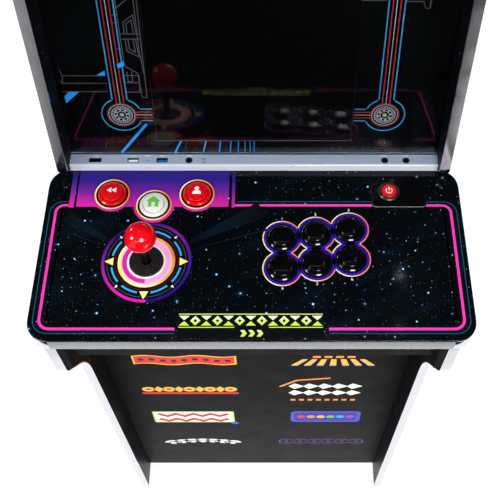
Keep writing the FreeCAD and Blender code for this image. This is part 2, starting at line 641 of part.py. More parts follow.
def head():
    """Speaker panel under the lit sign, the sign's panel, its strips and its lamp."""
    length = math.hypot(SPEAKER_LOW[0] - SPEAKER_HIGH[0], SPEAKER_HIGH[1] - SPEAKER_LOW[1])
    slots = []
    for x in (-SPEAKER_X, SPEAKER_X):
        for i in range(-4, 5):
            y = -length / 2 + GRILLE_PITCH * i
            half = math.sqrt(GRILLE ** 2 - (GRILLE_PITCH * i) ** 2)
            slot = rounded_rectangle(x - half, x + half, y - 1.7, y + 1.7, 1.6)
            slots.append(slab(slot, on_plan, Vector(0, 0, -1), Z_AXIS * (THIN_BOARD + 2)))
    panel = box(-INNER, INNER, -length, 0, 0, THIN_BOARD)
    save("speaker_panel", tilted(panel.cut(slots)))
    cone = [(0, 4, 0), (14, 4, 0), (36, 0, 0), (44, 0, 0), (44, 3, 0), (37, 3, 0), (26, 22, 0),
            (26, 34, 0), (0, 34, 0)]
    save("speakers", *[tilted(turned(cone, x, -length / 2, THIN_BOARD))
                       for x in (-SPEAKER_X, SPEAKER_X)])
    foot, top = SIGN_FOOT, SIGN_TOP
    sheet = SIGN_FRONT + SIGN_SHEET
    save("marquee_panel", box(-INNER + FIT, INNER - FIT, sheet, sheet + SIGN_SHEET, foot + 4, top))
    low = box(-INNER, INNER, SIGN_FRONT, SIGN_BACK, foot, foot + 4).fuse(
        box(-INNER, INNER, SIGN_FRONT, sheet, foot + 4, foot + 12))
    high = box(-INNER, INNER, SIGN_FRONT, SIGN_BACK, top, top + 13).fuse(
        box(-INNER, INNER, SIGN_FRONT, sheet, top - 8, top))
    save("marquee_retainers", low.removeSplitter(), high.removeSplitter())
    lamp = box(-190, 190, 250, 276, HEIGHT - 30, HEIGHT - 20)
    save("marquee_light", lamp.fuse(box(-186, 186, 254, 272, HEIGHT - 35, HEIGHT - 30)))


# ---- electrics inside ---------------------------------------------------------------------

def electrics():
    """Circuit boards, supply on the bottom shelf, power inlet in the rear cover."""
    base = RAIL_BOTTOM + THIN_BOARD
    card = box(50, 140, 150, 205, base + 6, base + 7.6)
    parts = [box(85, 97, 170, 182, base + 7.6, base + 9.4)]
    parts += [box(56 + 12 * i, 65 + 12 * i, 154, 160, base + 7.6, base + 14) for i in range(7)]
    posts = [rod(3, x, y, base, base + 6) for x in (56, 134) for y in (156, 199)]
    save("circuit_boards", card.fuse(parts + posts), main_board())
    floor = SHELF_Z + BOARD
    save("power_supply", plate(80, 190, 330, 395, 4, floor, floor + 38))
    x, z = INLET
    back = REAR_BOARD + THIN_BOARD
    half_x, half_z = INLET_HALF
    flange = box(x - 25, x + 25, back, back + 2.4, z - 12.5, z + 12.5)
    body = box(x - half_x, x + half_x, back - 20, back, z - half_z, z + half_z)
    cavity = box(x - 12.2, x + 12.2, back - 15, back + 3, z - 8.2, z + 8.2)
    shell = flange.fuse(body).cut(cavity)
    pins = [box(x + dx - 1.0, x + dx + 1.0, back - 16, back - 3, z + dz - 2, z + dz + 2)
            for dx, dz in ((-7, -0.5), (7, -0.5), (0, 3.5))]
    holes = [Part.makeCylinder(1.7, 5, Vector(x + s * 20, back - 1, z), Y_AXIS) for s in (-1, 1)]
    save("power_inlet", shell.fuse(pins).cut(Part.makeCompound(holes)))


os.makedirs("parts", exist_ok=True)
side_boards()
carcass()
rear_covers()
screws()
glides()
deck()
power_switch()
buttons()
stick_fixed_parts()
stick_moving_parts()
port_strip()
screen()
head()
electrics()
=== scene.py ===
"""Looks of the arcade cabinet. Sizes are in millimetres until place functions turn them to metres.

The deck's drawings use x across and y back from the deck's front edge; the screen's use x across
and u up the glass; the boards' use x or y across and z over the floor.
"""
import bmesh
import bpy
import math
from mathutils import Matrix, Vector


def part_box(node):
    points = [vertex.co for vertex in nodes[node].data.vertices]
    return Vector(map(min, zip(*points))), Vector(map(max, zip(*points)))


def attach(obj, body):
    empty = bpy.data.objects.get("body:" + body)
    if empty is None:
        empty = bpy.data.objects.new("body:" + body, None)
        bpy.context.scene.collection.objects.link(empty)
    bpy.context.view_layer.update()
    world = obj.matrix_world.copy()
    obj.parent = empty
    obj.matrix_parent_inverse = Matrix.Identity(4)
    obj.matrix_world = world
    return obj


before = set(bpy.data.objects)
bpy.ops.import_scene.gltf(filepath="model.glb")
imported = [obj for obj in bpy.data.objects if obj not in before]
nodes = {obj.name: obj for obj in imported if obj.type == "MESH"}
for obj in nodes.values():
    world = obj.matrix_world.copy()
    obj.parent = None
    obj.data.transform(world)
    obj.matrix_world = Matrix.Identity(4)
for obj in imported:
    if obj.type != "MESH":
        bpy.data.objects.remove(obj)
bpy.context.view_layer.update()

from types import SimpleNamespace
from mathutils import Matrix, Vector
from mathutils.bvhtree import BVHTree

MM = 0.001
INK = 0.06                 # thickness of one layer of print
ARC_STEP = 4.0             # degrees between two points of a drawn arc


def side_of(node, end, axis):
    """One side of a CAD node's box, in millimetres: end 0 is the low side and 1 the high one."""
    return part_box(node)[end][axis] / MM


def middle_of(node):
    """Middle of a CAD node in the deck's drawing: across, and back from the deck's front."""
    low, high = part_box(node)
    return (low.x + high.x) / 2 / MM, (low.y + high.y) / 2 / MM - DECK_FRONT


DECK_FRONT = side_of("deck_moulding", 0, 1)
DECK_TOP = side_of("deck_overlay", 1, 2)
DECK_DEPTH = side_of("deck_moulding", 1, 1) - DECK_FRONT
STICK = middle_of("stick_ball")
POWER = middle_of("power_button")
PLATE_LEFT, PLATE_RIGHT = (side_of("power_plate", end, 0) for end in (0, 1))
MENU = ["rewind_button", "home_button", "player_button"]
ACTION = [f"action_button_{i}" for i in range(1, 7)]


# ---- colours and material nodes -----------------------------------------------------------

def rgb(red, green, blue):
    """A colour given as it looks on a screen, 0 to 255, as the linear values that nodes take."""
    def linear(value):
        value /= 255
        return value / 12.92 if value <= 0.04045 else ((value + 0.055) / 1.055) ** 2.4
    return linear(red), linear(green), linear(blue), 1.0


def shade(colour, factor):
    return tuple(value * factor for value in colour[:3]) + (1.0,)


class Look:
    """A material being made: adds nodes and joins them to the Principled shader."""

    def __init__(self, name, **values):
        self.material = bpy.data.materials.new(name)
        self.material.use_nodes = True
        self.tree = self.material.node_tree
        self.shader = self.tree.nodes["Principled BSDF"]
        for socket, value in values.items():
            self.shader.inputs[socket.replace("_", " ")].default_value = value

    def join(self, value, socket):
        if isinstance(value, bpy.types.NodeSocket):
            self.tree.links.new(value, socket)
        else:
            socket.default_value = value

    def node(self, kind, settings=None, **inputs):
        made = self.tree.nodes.new("ShaderNode" + kind)
        for key, value in (settings or {}).items():
            setattr(made, key, value)
        for socket, value in inputs.items():
            self.join(value, made.inputs[socket.replace("_", " ")])
        return made

    def math(self, operation, a, b=0.0, c=0.0):
        made = self.node("Math", {"operation": operation})
        for socket, value in zip(made.inputs, (a, b, c)):
            self.join(value, socket)
        return made.outputs[0]

    def vector(self, operation, a, b=(0.0, 0.0, 0.0)):
        made = self.node("VectorMath", {"operation": operation})
        self.join(a, made.inputs[0])
        self.join(b, made.inputs[1])
        return made.outputs["Value" if operation == "DOT_PRODUCT" else "Vector"]

    def place(self, stretch=(1.0, 1.0, 1.0)):
        """Position on the object, in millimetres, each axis divided by its stretch."""
        coordinates = self.node("TexCoord").outputs["Object"]
        return self.vector("MULTIPLY", coordinates, tuple(1 / MM / s for s in stretch))

    def noise(self, size, detail=3.0, rough=0.55, stretch=(1.0, 1.0, 1.0)):
        """Cloudy noise from 0 to 1 whose lumps are about size millimetres across."""
        made = self.node("TexNoise", Vector=self.place(stretch), Scale=1 / size,
                         Detail=detail, Roughness=rough)
        return made.outputs["Fac"]

    def ramp(self, factor, stops, smooth=False):
        made = self.node("ValToRGB", Fac=factor)
        ramp = made.color_ramp
        ramp.interpolation = "EASE" if smooth else "LINEAR"
        while len(ramp.elements) < len(stops):
            ramp.elements.new(0.5)
        for element, (position, colour) in zip(ramp.elements, stops):
            element.position = position
            element.color = colour
        return made.outputs["Color"]

    def spread(self, factor, low, high, start=0.25, end=0.75):
        """Stretch a noise value from start..end to low..high."""
        made = self.node("MapRange", From_Min=start, From_Max=end, To_Min=low, To_Max=high,
                         Value=factor)
        return made.outputs["Result"]

    def mix(self, factor, a, b, blend="MIX"):
        made = self.node("Mix", {"data_type": "RGBA", "blend_type": blend})
        colours = [socket for socket in made.inputs if socket.type == "RGBA"]
        self.join(factor, made.inputs[0])
        self.join(a, colours[0])
        self.join(b, colours[1])
        return next(socket for socket in made.outputs if socket.type == "RGBA")

    def colour(self, value):
        self.join(value, self.shader.inputs["Base Color"])

    def roughness(self, value):
        self.join(value, self.shader.inputs["Roughness"])

    def rubbed(self, low, high, *grain):
        """Roughness that wanders from low to high, in lumps of the grain's size."""
        self.roughness(self.spread(self.noise(*grain), low, high))

    def glow(self, value, strength):
        self.join(value, self.shader.inputs["Emission Color"])
        self.shader.inputs["Emission Strength"].default_value = strength

    def bump(self, height, depth, strength=1.0):
        """Raise the surface by up to depth millimetres where height is 1."""
        made = self.node("Bump", Height=height, Distance=depth * MM, Strength=strength)
        self.join(made.outputs["Normal"], self.shader.inputs["Normal"])

    def stars(self, flat, cell, size, share, seed):
        """Brightness of round stars in a share of the cells of a grid, and the cells' colours."""
        moved = self.vector("ADD", flat, (seed, seed * 1.7, 0.0))
        made = self.node("TexVoronoi", {"voronoi_dimensions": "2D"}, Vector=moved,
                         Scale=1 / cell, Randomness=1.0)
        cells = self.node("SeparateColor", Color=made.outputs["Color"])
        lucky = self.math("LESS_THAN", cells.outputs[0], share)
        radius = self.math("MULTIPLY_ADD", cells.outputs[1], size / cell * 0.75,
                           size / cell * 0.35)
        near = self.math("DIVIDE", made.outputs["Distance"], radius)
        spot = self.math("MAXIMUM", self.math("SUBTRACT", 1.0, near), 0.0)
        return self.math("MULTIPLY", self.math("POWER", spot, 0.6), lucky), cells.outputs[2]


# ---- materials ----------------------------------------------------------------------------

def night_sky(name, base, flat_axes, glow_share=1.0, **values):
    """Dark printed sky: stars in three sizes, a few blue ones with a halo, and faint streaks."""
    look = Look(name, **values)
    axes = look.node("SeparateXYZ", Vector=look.place())
    across, along = (axes.outputs[axis] for axis in flat_axes)
    flat = look.node("CombineXYZ", X=across, Y=along).outputs[0]

    slanted = look.math("MULTIPLY_ADD", across, 0.42, look.math("MULTIPLY", along, -1.0))
    run = look.math("MULTIPLY_ADD", along, 0.42, across)
    streak_place = look.node("CombineXYZ", X=look.math("DIVIDE", run, 260.0),
                             Y=look.math("DIVIDE", slanted, 34.0)).outputs[0]
    streaks = look.node("TexNoise", Vector=streak_place, Scale=1.0, Detail=5.0, Roughness=0.6)
    veil = look.ramp(streaks.outputs["Fac"], [(0.50, base), (0.66, rgb(6, 20, 32)),
                                              (0.82, rgb(10, 42, 60))])
    clouds = look.noise(70.0, 2.0)
    veil = look.mix(look.spread(clouds, 0.0, 1.0, 0.42, 0.66), base, veil)

    total = veil
    for cell, size, share, seed, tint in ((4.2, 0.45, 0.26, 3.1, rgb(96, 116, 140)),
                                          (11.0, 0.75, 0.34, 41.7, rgb(160, 184, 214)),
                                          (34.0, 1.1, 0.42, 87.3, rgb(170, 216, 246))):
        spot, _ = look.stars(flat, cell, size, share, seed)
        total = look.mix(spot, total, look.mix(1.0, total, tint, "ADD"))
    halo, _ = look.stars(flat, 34.0, 4.6, 0.42, 87.3)
    halo = look.math("MULTIPLY", look.math("POWER", halo, 3.0), 0.4 * glow_share)
    total = look.mix(halo, total, look.mix(1.0, total, rgb(20, 95, 150), "ADD"))
    look.colour(total)
    return look


def deck_sheet():
    look = night_sky("deck_sheet", rgb(5, 8, 11), (0, 1), IOR=1.5, Specular_IOR_Level=0.14)
    look.rubbed(0.06, 0.13, 38.0)
    look.bump(look.noise(6.0, 2.0), 0.012)
    return look.material


def side_sheet():
    """Starry laminate with a satin finish."""
    look = night_sky("side_sheet", rgb(6, 8, 12), (1, 2), 0.6, Specular_IOR_Level=0.06)
    look.rubbed(0.32, 0.46, 60.0)
    look.bump(look.noise(1.1, 2.0), 0.02)
    return look.material


def marquee_sheet():
    look = Look("marquee_sheet", Roughness=0.12)
    axes = look.node("SeparateXYZ", Vector=look.place())
    low, high = side_of("marquee_panel", 0, 2), side_of("marquee_panel", 1, 2)
    height = look.spread(axes.outputs["Z"], 0.0, 1.0, low, high)
    sky = look.ramp(height, [(0.0, rgb(226, 44, 156)), (0.4, rgb(120, 30, 150)),
                             (1.0, rgb(24, 18, 84))], smooth=True)
    flat = look.node("CombineXYZ", X=axes.outputs["X"], Y=axes.outputs["Z"]).outputs[0]
    for cell, size, share, seed in ((7.0, 0.5, 0.3, 5.0), (24.0, 1.3, 0.4, 33.0)):
        spot, _ = look.stars(flat, cell, size, share, seed)
        sky = look.mix(spot, sky, rgb(255, 240, 255))
    look.colour(sky)
    look.glow(sky, 0.35)
    return look.material


def plastic(name, colour, rough=0.25, variation=0.12, grain=0.5, depth=0.01, **values):
    """Moulded plastic: a slightly cloudy colour, smudged gloss and a fine skin."""
    look = Look(name, **values)
    look.colour(look.mix(look.spread(look.noise(14.0), 0.0, 1.0), shade(colour, 1 - variation),
                         shade(colour, 1 + variation)))
    look.rubbed(rough * 0.75, rough * 1.3, 9.0, 4.0)
    look.bump(look.noise(grain, 2.0), depth)
    return look.material


def metal(name, colour, rough, stretch=(1.0, 1.0, 1.0), size=0.8, depth=0.004, tone=0.08,
          metallic=1.0):
    """Metal with fine marks; the stretch draws them out along an axis, as brushing does."""
    look = Look(name, Metallic=metallic)
    marks = look.noise(size, 4.0, 0.6, stretch)
    look.colour(look.mix(look.spread(marks, 0.0, 1.0), shade(colour, 1 - tone),
                         shade(colour, 1 + tone)))
    look.rubbed(rough * 0.8, rough * 1.25, 25.0)
    look.bump(marks, depth)
    return look.material


def board(name, colour, rough, fibre=1.4, variation=0.3, depth=0.03):
    """Pressed board: short fibres and flecks under its finish."""
    look = Look(name, Specular_IOR_Level=0.06)
    fibres = look.noise(fibre, 5.0, 0.7, (1.0, 1.0, 2.4))
    look.colour(look.mix(look.spread(fibres, 0.0, 1.0, 0.3, 0.7),
                         shade(colour, 1 - variation), shade(colour, 1 + variation)))
    look.rubbed(rough * 0.85, min(1.0, rough * 1.15), 30.0)
    look.bump(fibres, depth)
    return look.material


def front_sheet():
    """Satin charcoal laminate with a horizontal grain, painted lighter towards the floor: painted
    shade under the deck at the top, a painted reflection of the floor low down.
    """
    look = Look("front_sheet", Specular_IOR_Level=0.03)
    height = look.node("SeparateXYZ", Vector=look.place()).outputs["Z"]
    # Painted shade and reflection: dark at the top where the deck shades the panel, lighter near
    # the floor as a painted reflection of it.
    painted_shade_and_reflection = look.ramp(look.spread(height, 0.0, 1.0, 0.0, side_of("lower_front_panel", 1, 2)),
                     [(0.0, rgb(48, 46, 50)), (0.5, rgb(22, 21, 23)), (1.0, rgb(12, 11, 13))])
    grain = look.noise(1.6, 4.0, 0.6, (14.0, 1.0, 1.0))
    look.colour(look.mix(look.spread(grain, 0.0, 0.5), painted_shade_and_reflection, rgb(12, 12, 13)))
    look.rubbed(0.44, 0.56, 45.0)
    look.bump(grain, 0.012)
    return look.material


def front_glass():
    """Clear cover with an anti-glare skin."""
    look = Look("front_glass", Transmission_Weight=1.0, IOR=1.3, Base_Color=rgb(250, 252, 252))
    look.rubbed(0.0, 0.012, 60.0)
    return look.material


def bezel_sheet():
    look = Look("bezel_sheet", Specular_IOR_Level=0.05)
    haze = look.noise(55.0, 3.0)
    look.colour(look.mix(look.spread(haze, 0.0, 1.0, 0.4, 0.7), rgb(3, 4, 5), rgb(7, 9, 13)))
    look.rubbed(0.5, 0.65, 20.0)
    return look.material


def display():
    """Liquid crystal panel, switched off: black with the faintest pixel grid."""
    look = Look("display", Specular_IOR_Level=0.05, Roughness=0.4)
    grid = look.node("TexBrick", {"offset": 0.0}, Vector=look.place((1.0, 1.0, 1.0)),
                     Scale=3.4, Color1=rgb(4, 5, 6), Color2=rgb(5, 6, 6), Mortar=rgb(1, 1, 1))
    look.colour(grid.outputs["Color"])
    return look.material


def circuit_board():
    look = Look("circuit_board", Roughness=0.35)
    paths = look.node("TexBrick", Vector=look.place(), Scale=0.16, Mortar_Size=0.08,
                      Color1=rgb(10, 62, 38), Color2=rgb(14, 74, 44), Mortar=rgb(40, 120, 70))
    look.colour(look.mix(look.noise(2.0), paths.outputs["Color"], rgb(8, 50, 30)))
    look.bump(paths.outputs["Fac"], 0.03)
    return look.material


def speaker_paper():
    look = Look("speaker_paper", Roughness=0.85)
    fibres = look.noise(0.9, 5.0, 0.7)
    look.colour(look.mix(fibres, rgb(18, 18, 19), rgb(44, 43, 42)))
    look.bump(fibres, 0.05)
    return look.material


def red_lens():
    """Translucent red cap, lit a little from inside."""
    look = Look("red_lens", Roughness=0.12, Coat_Weight=0.6, Coat_Roughness=0.05)
    x, y = POWER
    inward = look.vector("SUBTRACT", look.place(), (x, y + DECK_FRONT, DECK_TOP))
    flat = look.vector("MULTIPLY", inward, (1.0, 1.0, 0.0))
    distance = look.math("SQRT", look.vector("DOT_PRODUCT", flat, flat))
    glow = look.ramp(look.spread(distance, 0.0, 1.0, 0.0, 9.0),
                     [(0.0, rgb(236, 30, 34)), (0.7, rgb(214, 16, 24)), (1.0, rgb(120, 4, 10))])
    look.colour(look.mix(look.noise(0.8), glow, shade(rgb(214, 16, 24), 0.9)))
    look.glow(glow, 0.35)
    look.bump(look.noise(0.5, 2.0), 0.004)
    return look.material


def gloss(name, colour, rough=0.06, coat=0.7):
    """Polished plastic under a clear skin, with faint rubbed patches."""
    look = Look(name, Coat_Weight=coat, Coat_Roughness=0.04)
    look.colour(look.mix(look.spread(look.noise(8.0), 0.0, 1.0), shade(colour, 0.9),
                         shade(colour, 1.06)))
    look.rubbed(rough * 0.7, rough * 1.8, 5.0, 4.0)
    look.bump(look.noise(3.0, 2.0), 0.006)
    return look.material


def gloss_with_painted_edges():
    """Polished black plate whose chamfered edges are painted grey as a painted highlight, where
    they would catch the light.
    """
    look = Look("gloss_with_painted_edges", Coat_Weight=0.7, Coat_Roughness=0.04)
    normal = look.node("NewGeometry").outputs["True Normal"]
    flatness = look.node("SeparateXYZ", Vector=normal).outputs["Z"]
    face = look.spread(look.noise(8.0), 0.0, 1.0)
    top = look.mix(face, rgb(5, 5, 6), rgb(8, 8, 9))
    # Painted highlight: the sloping edge faces are painted grey in place of the light they catch.
    edge = look.mix(face, rgb(104, 106, 110), rgb(150, 152, 156))
    look.colour(look.mix(look.spread(flatness, 0.0, 1.0, 0.9, 0.96), edge, top))
    look.rubbed(0.05, 0.12, 5.0, 4.0)
    return look.material


def washer_skin():
    """Black washer, polished in streaks where the stick has swept over it."""
    look = Look("washer_skin", Specular_IOR_Level=0.5)
    streaks = look.noise(1.5, 4.0, 0.65, (1.0, 9.0, 1.0))
    look.colour(look.ramp(streaks, [(0.35, rgb(13, 12, 13)), (0.62, rgb(34, 31, 33)),
                                    (0.75, rgb(58, 54, 57))]))
    look.roughness(look.spread(streaks, 0.5, 0.28))
    look.bump(streaks, 0.03)
    return look.material


def finishes():
    """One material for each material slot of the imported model."""
    return {
        "side_laminate": side_sheet(),
        "chrome_trim": metal("chrome_trim", (0.72, 0.73, 0.76, 1), 0.13, (1.0, 1.0, 30.0), 0.9,
                             0.006),
        "front_art": front_sheet(),
        "black_board": board("black_board", rgb(13, 12, 13), 0.5, depth=0.015),
        "raw_board": board("raw_board", rgb(24, 23, 24), 0.75),
        "rear_board": board("rear_board", rgb(46, 38, 32), 0.7, 1.0, 0.22, 0.06),
        "deck_art": deck_sheet(),
        "black_steel": metal("black_steel", rgb(38, 38, 42), 0.22, size=0.5),
        "nylon": plastic("nylon", rgb(210, 208, 200), 0.45),
        "gloss_black": gloss("gloss_black", rgb(7, 7, 8)),
        "red_lens": red_lens(),
        "brushed_strip": metal("brushed_strip", rgb(164, 180, 202), 0.4, (40.0, 1.0, 1.0), 0.7,
                               0.008, metallic=0.25),
        "socket_steel": metal("socket_steel", rgb(190, 190, 194), 0.25),
        "socket_black": plastic("socket_black", rgb(10, 10, 11), 0.4),
        "front_glass": front_glass(),
        "bezel_art": bezel_sheet(),
        "display": display(),
        "circuit_board": circuit_board(),
        "speaker_paper": speaker_paper(),
        "marquee_art": marquee_sheet(),
        "black_metal": metal("black_metal", rgb(24, 24, 26), 0.4, (12.0, 1.0, 1.0), 1.0),
        "lamp": plastic("lamp", rgb(236, 232, 220), 0.3),
        "matte_black": plastic("matte_black", rgb(18, 18, 19), 0.55, grain=0.4, depth=0.03),
        "zinc_steel": metal("zinc_steel", rgb(176, 178, 170), 0.3, size=1.6, tone=0.14),
        "switch_black": plastic("switch_black", rgb(14, 14, 15), 0.5),
        "white_nylon": plastic("white_nylon", rgb(228, 226, 218), 0.4),
        "polished_steel": metal("polished_steel", rgb(70, 70, 76), 0.16, (1.0, 1.0, 10.0)),
        "red_ball": gloss("red_ball", rgb(222, 4, 18), 0.1, 1.0),
        "washer_black": washer_skin(),
        "black_button": gloss("black_button", rgb(6, 6, 7), 0.1),
        "red_button": gloss("red_button", rgb(214, 8, 20), 0.12),
        "white_button": gloss("white_button", rgb(226, 226, 222), 0.12),
    }


ROUNDED = {"deck_moulding": 1.2, "side_mouldings": 0.5, "port_lip": 0.4, "power_plate": 1.2,
           "port_panel": 0.2, "deck_overlay": 0.5, "marquee_retainers": 1.0}


def finish_nodes():
    """Give each CAD node its finish, and round the sharp edges that catch the light."""
    made = finishes()
    special = {
        "port_lip": metal("pale_trim", rgb(226, 232, 238), 0.3, (30.0, 1.0, 1.0), metallic=0.2),
        "power_plate": gloss_with_painted_edges(),
        "power_switch_body": plastic("switch_ring", rgb(30, 30, 32), 0.3),
    }
    for name, node in nodes.items():
        for slot in node.material_slots:
            slot.material = special.get(name) or made[slot.material.name]
    for name, radius in ROUNDED.items():
        weld = nodes[name].modifiers.new("weld", "WELD")
        weld.merge_threshold = 0.002 * MM
        bevel = nodes[name].modifiers.new("bevel", "BEVEL")
        bevel.width = radius * MM
        bevel.segments = 3
        bevel.limit_method = "ANGLE"
        bevel.angle_limit = math.radians(50)
        bevel.harden_normals = False


# ---- printed shapes -----------------------------------------------------------------------

def ink(name, stops, rough, glow):
    """Printing ink. With several stops, it runs through them with the shape's tone."""
    look = Look(name, Specular_IOR_Level=0.06)
    if len(stops) == 1:
        colour = stops[0]
    else:
        tone = look.node("Attribute", {"attribute_name": "tone"}).outputs["Fac"]
        places = [i / (len(stops) - 1) for i in range(len(stops))]
        colour = look.ramp(tone, list(zip(places, stops)))
    fleck = look.spread(look.noise(0.7, 3.0), 0.0, 0.16)
    colour = look.mix(fleck, colour, rgb(40, 40, 46))
    look.colour(colour)
    # Painted light: a glow that brightens the ink though it is no lamp.
    if glow:
        look.glow(colour, glow)
    look.rubbed(rough * 0.8, rough * 1.3, 12.0)
    return look.material


def polar(centre, radius, degrees):
    angle = math.radians(degrees)
    return centre[0] + radius * math.cos(angle), centre[1] + radius * math.sin(angle)


def arc(centre, radius, start=0.0, end=360.0):
    steps = max(2, math.ceil(abs(end - start) / ARC_STEP))
    return [polar(centre, radius, start + (end - start) * i / steps) for i in range(steps + 1)]


def rounded(corners, closed=False):
    """Points along a path of (x, y, radius) corners, with each corner rounded to its radius."""
    points = []
    last = len(corners) - 1
    for i, (x, y, radius) in enumerate(corners):
        if radius <= 0 or (not closed and i in (0, last)):
            points.append((x, y))
            continue
        here = Vector((x, y))
        back = (Vector(corners[i - 1][:2]) - here).normalized()
        ahead = (Vector(corners[(i + 1) % (last + 1)][:2]) - here).normalized()
        half = back.angle(ahead) / 2
        centre = here + (back + ahead).normalized() * radius / math.sin(half)
        first = here + back * radius / math.tan(half) - centre
        turn = 180 - 2 * math.degrees(half)
        if back.x * ahead.y > back.y * ahead.x:
            turn = -turn
        start = math.degrees(math.atan2(first.y, first.x))
        points += arc(centre, radius, start, start + turn)
    return points


def rectangle(x0, x1, y0, y1, radius=0.0):
    return rounded([(x0, y0, radius), (x1, y0, radius), (x1, y1, radius), (x0, y1, radius)],
                   closed=True)


def add_piece(name, mesh, body):
    piece = bpy.data.objects.new(name, mesh)
    bpy.context.scene.collection.objects.link(piece)
    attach(piece, body)


class Print:
    """Printed shapes on one surface, gathered into one thin raised piece."""

    def __init__(self, name, place):
        self.name = name
        self.place = place
        self.points = []
        self.tones = []
        self.faces = []
        self.inks = []

    def add(self, rows, tone):
        """Add points of (a, b, level), and return the number of the first one."""
        first = len(self.points)
        self.points += [(a, b, level * INK) for a, b, level in rows]
        self.tones += [tone(a, b) if tone else 0.5 for a, b, _ in rows]
        return first

    def skin(self, faces, colour):
        self.faces += faces
        self.inks += [colour] * len(faces)

    def shape(self, points, colour, level=1, tone=None):
        """Filled shape inside one closed outline."""
        count = len(points)
        low = self.add([(a, b, 0) for a, b in points], tone)
        high = self.add([(a, b, level) for a, b in points], tone)
        walls = [(low + i, low + (i + 1) % count, high + (i + 1) % count, high + i)
                 for i in range(count)]
        self.skin([tuple(range(high, high + count)),
                   tuple(range(low + count - 1, low - 1, -1))] + walls, colour)

    def strip(self, left, right, colour, level=1, tone=None, closed=False):
        """Band between two lines with the same number of points."""
        count = len(left)
        rows = [self.add([(a, b, h) for a, b in side], tone)
                for side, h in ((left, 0), (left, level), (right, level), (right, 0))]
        faces = []
        for i in range(count if closed else count - 1):
            j = (i + 1) % count
            faces += [(rows[k] + i, rows[k] + j, rows[(k + 1) % 4] + j, rows[(k + 1) % 4] + i)
                      for k in range(4)]
        if not closed:
            faces += [tuple(row + i for row in rows) for i in (0, count - 1)]
        self.skin(faces, colour)

    def ring(self, centre, inner, outer, colour, start=0.0, end=360.0, level=1, tone=None):
        whole = end - start >= 360
        lines = [arc(centre, radius, start, end) for radius in (inner, outer)]
        if whole:
            lines = [line[:-1] for line in lines]
        self.strip(*lines, colour, level, tone, closed=whole)

    def disc(self, centre, radius, colour, level=1, tone=None):
        self.shape(arc(centre, radius)[:-1], colour, level, tone)

    def stroke(self, path, width, colour, level=1, tone=None, closed=False):
        """Line of even width along a path."""
        left, right = [], []
        last = len(path) - 1
        for i, point in enumerate(path):
            here = Vector(point)
            back = Vector(path[i - 1]) if i or closed else None
            ahead = Vector(path[(i + 1) % (last + 1)]) if i < last or closed else None
            before = (here - back).normalized() if back else (ahead - here).normalized()
            after = (ahead - here).normalized() if ahead else before
            along = (before + after).normalized()
            out = Vector((-along.y, along.x))
            reach = width / 2 / max(0.35, out.dot(Vector((-before.y, before.x))))
            left.append(tuple(here + out * reach))
            right.append(tuple(here - out * reach))
        self.strip(left, right, colour, level, tone, closed)

    def build(self, body, grain=0.0):
        """Make the piece. With a grain, its faces are cut finer than that, to follow a dome."""
        used = list(dict.fromkeys(self.inks))
        mesh = bpy.data.meshes.new(self.name)
        work = bmesh.new()
        toned = work.verts.layers.float.new("tone")
        corners = [work.verts.new(point) for point in self.points]
        for corner, tone in zip(corners, self.tones):
            corner[toned] = tone
        for face, colour in zip(self.faces, self.inks):
            work.faces.new([corners[i] for i in face]).material_index = used.index(colour)
        if grain:
            bmesh.ops.triangulate(work, faces=work.faces[:])
            for _ in range(4):
                long = [edge for edge in work.edges if edge.calc_length() > grain]
                if long:
                    bmesh.ops.subdivide_edges(work, edges=long, cuts=1)
                    bmesh.ops.triangulate(work, faces=[f for f in work.faces
                                                       if len(f.verts) > 3])
        for vertex in work.verts:
            vertex.co = self.place(*vertex.co) * MM
        bmesh.ops.recalc_face_normals(work, faces=work.faces[:])
        work.to_mesh(mesh)
        work.free()
        for colour in used:
            mesh.materials.append(colour)
        add_piece(self.name, mesh, body)


# ---- surfaces that carry print ------------------------------------------------------------

def on_deck(x, y, h):
    return Vector((x, DECK_FRONT + y, DECK_TOP + h))


def leaning_face(node):
    """A point at the foot of a leaning sheet's front face, and the directions up and out of it."""
    mesh = nodes[node].data
    front = max((face for face in mesh.polygons if face.normal.y < -0.5),
                key=lambda face: face.area)
    foot = min((mesh.vertices[i].co for i in front.vertices), key=lambda point: point.z)
    out = front.normal.normalized()
    return Vector((0, foot.y, foot.z)) / MM, Vector((0, out.z, -out.y)), out


GLASS_FOOT, GLASS_UP, GLASS_OUT = leaning_face("screen_glass")
BEZEL_DEPTH = (GLASS_FOOT - leaning_face("bezel_board")[0]).dot(GLASS_OUT)


def on_bezel(x, u, h):
    return GLASS_FOOT + Vector((x, 0, 0)) + GLASS_UP * u + GLASS_OUT * (h - BEZEL_DEPTH)


def on_front(x, z, h):
    return Vector((x, side_of("lower_front_panel", 0, 1) - h, z))


def on_marquee(x, z, h):
    return Vector((x, side_of("marquee_panel", 0, 1) - h, z))


def on_strip(x, y, h):
    return Vector((x, DECK_FRONT + y, side_of("port_panel", 1, 2) + h))


def on_side(side):
    face = side_of("right_side_panel", 1, 0)
    return lambda y, z, h: Vector((side * (face + h), y, z))


def on_cap(node):
    """Surface of a domed cap, its drawing centred on the cap."""
    mesh = nodes[node].data
    tree = BVHTree.FromPolygons([v.co for v in mesh.vertices],
                                [tuple(p.vertices) for p in mesh.polygons])
    low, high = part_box(node)
    centre = (low + high) / 2

    def place(x, y, h):
        above = Vector((centre.x + x * MM, centre.y + y * MM, high.z + 1))
        hit = tree.ray_cast(above, Vector((0, 0, -1)))[0]
        return hit / MM + Vector((0, 0, h))
    return place


# ---- the deck's print ---------------------------------------------------------------------

